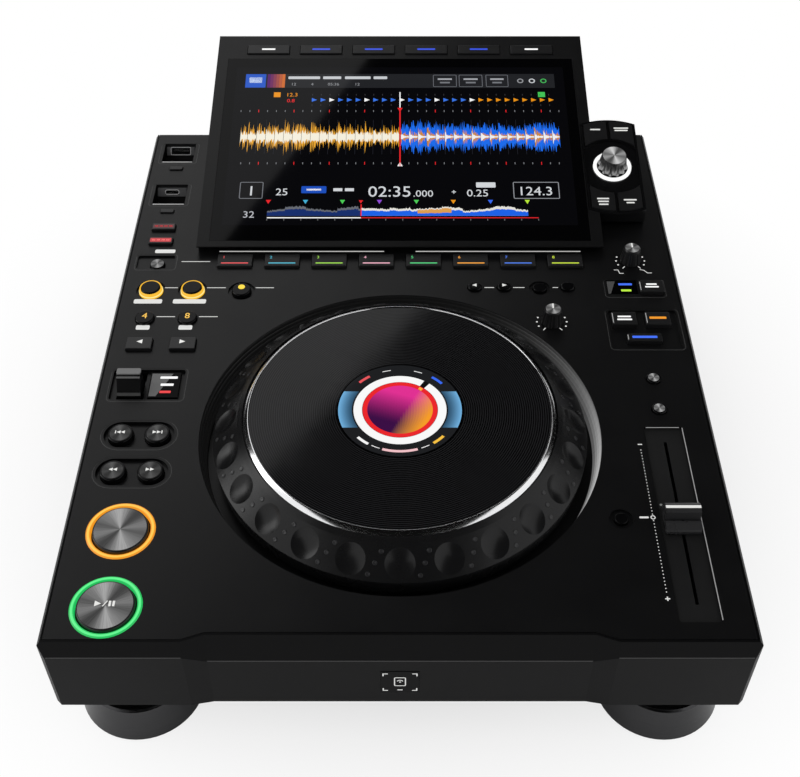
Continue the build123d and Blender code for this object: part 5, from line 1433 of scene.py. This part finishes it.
# ================================================================ screen
@dataclass
class Screen:
    """The screen's lit content, on the cover glass: bars, ticks, waveforms and numbers."""

    half: float = 108.5
    low: float = 16.6
    high: float = 152.9
    head_y: float = 140.2
    beat: float = 5.74
    arrows_y: float = 122.7
    wave_y: float = 89.7
    wave_reach: Pair = (0.6, 102.2)
    row_y: float = 45.1
    titles: tuple[Pair, ...] = ((-63.5, 21.0), (-45.0, 12.0), (-28.0, 17.0), (-13.0, 9.0))
    figures: tuple[tuple[str, float], ...] = (("12", -70.0), ("4", -58.0), ("05:36", -44.0), ("12", -28.0))
    buttons: tuple[Pair, ...] = ((29.7, 15.6), (46.8, 15.6), (64.2, 14.8))
    signs: tuple[tuple[float, Colour], ...] = ((79.6, STEEL), (87.3, SILVER), (94.9, srgb(70, 180, 90)))
    # name, layer, side, tint and half height of each band, and sharpness, base and roughness of its beats
    waves: tuple[tuple, ...] = (
        ("wave_blue", 0, 1, srgb(30, 110, 240), 17.5, 0.5, 0.65, 0.6),
        ("wave_orange", 1, 1, srgb(210, 140, 60), 13.5, 2.2, 0.2, 0.9),
        ("wave_core", 2, 1, srgb(245, 245, 248), 9.0, 5.5, 0.1, 0.6),
        ("wave_spikes", 0, -1, srgb(235, 168, 50), 20.0, 0.9, 0.35, 0.95),
        ("wave_pale", 1, -1, srgb(250, 244, 226), 9.6, 1.2, 0.5, 0.75))
    markers: tuple[tuple[float, Colour], ...] = (
        (-81.2, RED), (-58.3, SKY), (-35.5, LEAF), (-12.7, srgb(150, 80, 220)), (10.1, LEAF), (32.9, ORANGE),
        (55.8, BLUE), (78.5, LIME))
    played_to: float = -23.9
    warm_part: Pair = (10.6, 31.7)

    def build(self) -> None:
        """Draw each part of the screen."""
        back = Print(SLOPE, lift=0.01, thick=0.02)
        back.bar(0.0, (self.low + self.high) / 2, 2 * self.half, self.high - self.low, srgb(5, 5, 7))
        shown(back, "screen_ground")
        self.header()
        self.beats()
        self.wave()
        self.numbers()
        self.overview()

    def layer(self, level: int = 0) -> Print:
        """An empty layer over the ground."""
        return Print(SLOPE, lift=0.04 + 0.03 * level, thick=0.02)

    def header(self) -> None:
        """The bar along the top: icon, picture, title, number row, buttons and signs."""
        show, over, y = self.layer(), self.layer(1), self.head_y
        show.bar(0.0, y, 2 * 102.2, 12.9, srgb(34, 35, 38))
        over.bar(-95.5, y, 13.4, 12.4, srgb(40, 90, 200))
        over.bar(-95.5, y + 0.7, 8.6, 5.2, srgb(200, 215, 245), corner=0.8)
        for n in range(6):
            over.bar(-86.8 + 1.95 * n, y, 1.9, 12.4, srgb(90 + 24 * n, 30 + 16 * n, 110 - 12 * n))
        over.bars([(x, y + 2.9, width, 2.5) for x, width in self.titles], SILVER, corner=0.5)
        for words, x in self.figures:
            over.text(words, x, y - 3.1, 2.4, STEEL)
        for x, width in self.buttons:
            over.frame(x, y, width, 11.2, 0.8, 0.4, srgb(110, 112, 118))
            over.bar(x, y + 1.6, width * 0.6, 1.4, srgb(170, 172, 178))
            over.bar(x, y - 1.6, width * 0.42, 1.4, SLATE)
        for x, tint in self.signs:
            over.ring(x, y, 2.1, 1.3, tint, steps=24)
        shown(show, "screen_header")
        shown(over, "screen_header_items")

    def beats(self) -> None:
        """The strip of arrowheads with its ticks, and the tick rows over and under the waveform."""
        show, beat = self.layer(), self.beat
        for n in range(-10, 18):
            x = n * beat + 1.4
            tint = ORANGE if x > 50.0 else (srgb(60, 120, 235) if n % 4 else BRIGHT)
            show.arrow(x, self.arrows_y, 3.4, 0.0, tint)
            show.bars([(n * beat, self.arrows_y + step, 0.4, 1.4) for step in (4.7, -4.7)], DIM)
        show.bar(-80.6, 127.4, 4.4, 4.4, ORANGE)
        show.text("12.3", -70.6, 127.4, 3.2, ORANGE)
        show.text("0.8", -71.4, 122.0, 3.0, RED)
        show.bar(92.9, 127.6, 4.6, 4.6, srgb(70, 200, 90))
        for n in range(-18, 19):
            tint, tall = (srgb(130, 132, 136), 1.6) if n % 4 else (RED, 2.4)
            show.bars(((n * beat, 112.6, 0.45, tall), (n * beat * 0.972, 67.1, 0.45, tall)), tint)
        shown(show, "screen_beats")
        over = self.layer(5)
        over.bar(0.0, 122.6, 0.7, 14.0, BRIGHT)
        over.bar(0.0, 90.0, 0.8, 50.8, RED)
        over.arrow(0.0, 113.6, 3.4, -90.0, RED)
        over.arrow(0.0, 66.2, 3.4, 90.0, BRIGHT)
        shown(over, "screen_playhead")

    def band(self, show: Print, xs: Points, middle: float | Points, reach: Points, tint: Colour) -> None:
        """A waveform band: two edges at middle + reach(x) and middle - reach(x), joined by quads.

        Args:
            show: The layer it goes on.
            xs: Positions along the band.
            middle: Its centre line.
            reach: Half height at each position.
            tint: Its colour.
        """
        n = len(xs)
        flat = np.concatenate([np.column_stack([xs, middle - reach]), np.column_stack([xs, middle + reach])])
        low, high = show.plane.place(flat, show.lift), show.plane.place(flat, show.lift + show.thick)
        k = np.arange(n - 1)
        top = np.column_stack([k, k + 1, k + 1 + n, k + n])
        under = top[:, ::-1] + 2 * n
        front = np.column_stack([k + 2 * n, k + 1 + 2 * n, k + 1, k])
        back = np.column_stack([k + n, k + 1 + n, k + 1 + 3 * n, k + 3 * n])
        ends = np.array([[0, n, 3 * n, 2 * n], [n - 1, 3 * n - 1, 4 * n - 1, 2 * n - 1]])
        faces = np.concatenate([top, under, front, back, ends]).tolist()
        show.soup.add(np.concatenate([high, low]), faces, tint)

    def wave(self) -> None:
        """The main waveform: each band's half height is a beat pulse times a rough random swing."""
        rng = np.random.default_rng(7)
        for name, level, side, tint, reach, sharp, base, rough in self.waves:
            xs = np.sort(np.linspace(*self.wave_reach, 300) * side)
            pulse = base + (1 - base) * np.exp(-sharp * ((xs / self.beat) % 1.0))
            swing = 1.0 - rough * rng.random(len(xs)) ** 0.7
            slow = 0.85 + 0.15 * np.sin(xs / 9.0) * np.cos(xs / 23.0)
            show = self.layer(level)
            self.band(show, xs, self.wave_y, np.maximum(0.3, reach * pulse * swing * slow), tint)
            shown(show, f"screen_{name}")
        lower = self.layer(3)
        lower.bars([(n * self.beat, self.wave_y, 0.22, 30.0) for n in range(-17, 18)], srgb(40, 42, 50))
        shown(lower, "screen_beat_lines")

    def numbers(self) -> None:
        """The row of figures under the waveform."""
        show, y = self.layer(), self.row_y
        show.frame(-92.3, y - 0.5, 14.6, 13.7, 1.0, 0.5, SLATE)
        show.text("1", -92.3, y - 0.9, 7.6, PALE)
        show.text("25", -73.4, y - 1.8, 5.6, PALE)
        show.bar(-53.5, y, 15.5, 5.7, srgb(30, 80, 190), corner=0.6)
        show.bar(-53.5, y, 9.0, 1.5, BRIGHT)
        show.bars([(x, y, 5.6, 2.4) for x in (-38.6, -31.4)], PALE)
        show.text("02:35", -6.6, y - 1.5, 8.6, PALE)
        show.text(".000", 14.4, y - 3.1, 5.2, PALE)
        show.bars(((33.4, y - 1.8, 2.6, 0.6), (33.4, y - 1.8, 0.6, 2.6)), PALE)
        show.text("0.25", 48.0, y - 2.7, 5.6, PALE)
        show.bar(53.4, y + 3.9, 12.1, 4.2, PALE, corner=0.5)
        show.frame(84.6, y - 0.5, 28.6, 13.7, 1.0, 0.5, srgb(150, 152, 158))
        show.text("124.3", 84.6, y - 1.1, 7.0, PALE)
        shown(show, "screen_numbers")

    def overview(self) -> None:
        """Markers over the whole-length waveform, its played part, its underline and its ticks."""
        rng = np.random.default_rng(11)
        marks = self.layer(3)
        for x, tint in self.markers:
            marks.arrow(x, 35.1, 3.2, -90.0, tint)
        marks.arrow(-24.1, 35.1, 2.6, -90.0, RED)
        marks.bar(self.played_to, 28.4, 0.7, 9.4, RED)
        marks.bar(-52.6, 22.4, 57.4, 0.8, BRIGHT)
        marks.bar(30.3, 22.4, 108.8, 0.6, RED)
        marks.bars([(-81.3 + n * 10.37, 20.9, 0.4, 1.3) for n in range(17)], GREY)
        marks.text("32", -92.6, 25.0, 5.2, srgb(190, 192, 198))
        shown(marks, "screen_overview_marks")
        xs = np.linspace(-81.5, 78.5, 400)
        shape = 3.2 + 2.2 * np.abs(np.sin(xs / 13.0)) + 1.6 * (np.cos(xs / 5.1) > 0.3)
        shape = shape + 1.2 * rng.random(len(xs))
        played = xs < self.played_to
        warm = (xs > self.warm_part[0]) & (xs < self.warm_part[1])
        for name, level, keep, tint, low, high in (
                ("dim_top", 0, played, srgb(105, 108, 116), 0.0, 1.0),
                ("dim", 1, played, srgb(24, 48, 110), 0.0, 0.72),
                ("full_top", 0, ~played, srgb(235, 232, 224), 0.0, 1.0),
                ("full", 1, ~played, srgb(30, 100, 235), 0.0, 0.7),
                ("warm", 2, warm, srgb(225, 160, 80), 0.35, 0.85)):
            show = self.layer(level)
            half = shape[keep] * (high - low) / 2
            self.band(show, xs[keep], 24.0 + shape[keep] * (high + low) / 2, half, tint)
            shown(show, f"screen_overview_{name}")


# ================================================================ windows, lever, dials and fader
@dataclass
class Windows:
    """Lit marks in the small glossy windows: the platter mode, the lever's positions and the badge, and a
    painted reflection on two windows.
    """

    sunk: float = -0.3
    lights: tuple[tuple[float, float, float, Colour], ...] = (
        (132.6, 20.0, 8.0, BLUE), (132.6, 14.6, 6.0, LIME), (-126.0, -57.0, 9.4, BRIGHT),
        (-126.4, -62.4, 7.0, BRIGHT), (-126.8, -67.8, 6.0, RED))
    # Painted reflections on the glass of two windows: tone and outline of each.
    painted_glares: tuple[tuple[float, tuple[Pair, ...]], ...] = (
        (0.06, ((121.9, 22.6), (121.9, 11.8), (123.3, 11.8), (126.8, 22.6))),
        (0.1, ((-135.4, -54.0), (-135.4, -71.0), (-131.6, -71.0), (-124.0, -54.0))))
    badge: Place = (0.0, -226.0, 55.0)

    def build(self) -> None:
        """Draw each window's marks and the painted reflection on two of them."""
        show = Print(raised(self.sunk))
        for x, y, width, tint in self.lights:
            show.bar(x, y, width, 1.7, tint, corner=0.3)
        show.piece("window_lights", Body.BASE, LIT)
        # Painted reflection: pale shapes on the glass of two windows.
        glare = Print(raised(self.sunk), lift=0.01, thick=0.02)
        for tone, outline in self.painted_glares:
            glare.shape(np.array(outline), grey(tone))
        glare.piece("window_painted_glare", Body.BASE, PRINT_AND_PAINTED_HIGHLIGHT)
        self.badge_sign()

    def badge_sign(self) -> None:
        """Four corner brackets round a small framed sign."""
        sign = Print(Plane(self.badge, along=(0.0, 0.0, 1.0)), lift=0.02)
        for x in (-1, 1):
            for z in (-1, 1):
                sign.bars(((x * 6.9, z * 7.4, 2.4, 0.55), (x * 7.9, z * 6.5, 0.55, 2.2)))
        sign.frame(0.0, 0.4, 5.6, 7.6, 0.9, 0.5)
        sign.ring(0.0, 0.4, 1.6, 1.1, start=20.0, sweep=140.0, steps=12)
        sign.disc(0.0, 0.2, 0.45, steps=10)
        sign.bar(0.0, -6.9, 2.4, 0.6)
        sign.piece("badge_sign", Body.BASE, PRINT_WITH_PAINTED_GLOW)


@dataclass
class Controls:
    """The lever's cap and ledges, the tops of dials and selector, and the fader's line, light and floor."""

    lever: Pair = (-145.7, -62.5)
    lever_ledges: Rows = ((10.1, 1.0, 0.1), (0.9, 1.7, 0.035))
    dials: tuple[tuple[str, Body, float, float], ...] = (("jog_dial", Body.JOG_ADJUST, 86.6, -12.7),
                                                         ("speed_dial", Body.SPEED_ADJUST, 138.3, 40.9))
    dial_top: float = 10.2
    fader: Pair = (137.9, -153.5)
    fader_line: Place = (17.2, 1.7, 8.5)
    fader_side: Place = (5.3, 8.9, 100.4)
    fader_end: Place = (54.95, 19.5, 9.5)
    fader_light: Place = (129.4, -145.6, 0.7)
    pod: Pair = (133.6, 64.8)
    knob_top: float = 9.6

    def build(self) -> None:
        """Make the tops of all the controls."""
        self.lever_trim()
        for name, body, x, y in self.dials:
            self.dial_face(name, body, x, y)
        self.selector_face()
        self.fader_marks()

    def fader_marks(self) -> None:
        """The line on the fader's cap, the small light beside it and the floor of its recess."""
        x, y = self.fader
        width, height, top = self.fader_line
        line = Print(raised(top))
        line.bar(x, y, width, height)
        line.piece("fader_line", Body.FADER, PRINT_AND_PAINTED_HIGHLIGHT)
        light = Print()
        light.disc(*self.fader_light, srgb(110, 112, 110), 12)
        light.piece("fader_light", Body.BASE, LIT)
        floor = Print(raised(-1.2), lift=0.0, thick=0.06)
        (out, *side), (back, *end) = self.fader_side, self.fader_end
        for way in (-1, 1):
            floor.bars(((x + way * out, y, *side), (x, y + way * back, *end)), RECESS_BLACK)
        satin = Finish("recess_satin", RECESS_BLACK, 0.42, tinted=True, specular=0.4, fine=2600.0)
        floor.piece("fader_floor", Body.BASE, satin)

    def lever_trim(self) -> None:
        """A light grey cap over the lever's top edge and a ledge along its foot."""
        x, y = self.lever
        cap = Print(raised(9.0), lift=0.0, thick=0.9)
        cap.bar(x, y + 0.5, 12.9, 4.2, grey(0.13), corner=0.9)
        front = Plane((x, y - 8.8, DECK_Z + 0.3), along=(0.0, 0.5741, 0.8188))
        for along, height, tone in self.lever_ledges:
            ledge = Print(front, lift=0.0, thick=0.5, soup=cap.soup)
            ledge.bar(0.0, along, 12.7, height, grey(tone), corner=0.4)
        satin = Finish("lever_grey", grey(0.2), 0.4, tinted=True, fine=2600.0)
        cap.piece("lever_trim", Body.LEVER, satin)

    def dial_face(self, name: str, body: Body, x: float, y: float) -> None:
        """A turned top with a highlight painted into its colour as bright lobes, and a white pointer.

        Args:
            name: The dial's name.
            body: The body it rides on.
            x: Its place across.
            y: Its place along.
        """
        top = self.dial_top
        metal = Finish(f"{name}_metal", HIGHLIGHT_AND_DIAL_GREY, 0.3, Texture.SPUN, centre=(x, y), painted_highlight=1.0, bump=0.15)
        turned_face(f"{name}_face", body, raised(0), (x, y), [(4.2, top), (4.2, top + 0.04), (3.9, top + 0.12)],
                    metal, 40)
        pointer = Print(raised(top + 0.13))
        pointer.bar(x, y + 2.2, 0.9, 3.8)
        pointer.piece(f"{name}_pointer", body, PRINT_AND_PAINTED_HIGHLIGHT)

    def selector_face(self) -> None:
        """The selector's turned top, with a highlight painted into its colour as bright lobes."""
        top, (x, along) = self.knob_top, self.pod
        centre = (x, HOUSING_Y + along * SLOPE_COS - top * SLOPE_SIN)
        metal = Finish("selector_metal", grey(0.6), 0.25, Texture.SPUN, centre=centre, painted_highlight=1.0, bump=0.15)
        profile = [(7.2, top), (7.2, top + 0.05), (6.9, top + 0.14)]
        turned_face("selector_face", Body.SELECTOR, SLOPE, self.pod, profile, metal)


def corners(box: tuple) -> list[list[float]]:
    """A box as plain lists of numbers."""
    return [[float(v) for v in corner] for corner in box]


def main() -> None:
    """Load the model, build the studio, then each sub-assembly in order."""
    logging.basicConfig(level=logging.INFO, format="%(name)s %(message)s")
    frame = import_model()
    Studio().build()
    CadFinishes().build(frame["nodes"])
    for part in (DeckMarks(), LightRings(), KeyMarks(), Platter(), Screen(), Windows(), Controls()):
        part.build()


if __name__ == "__main__":
    main()
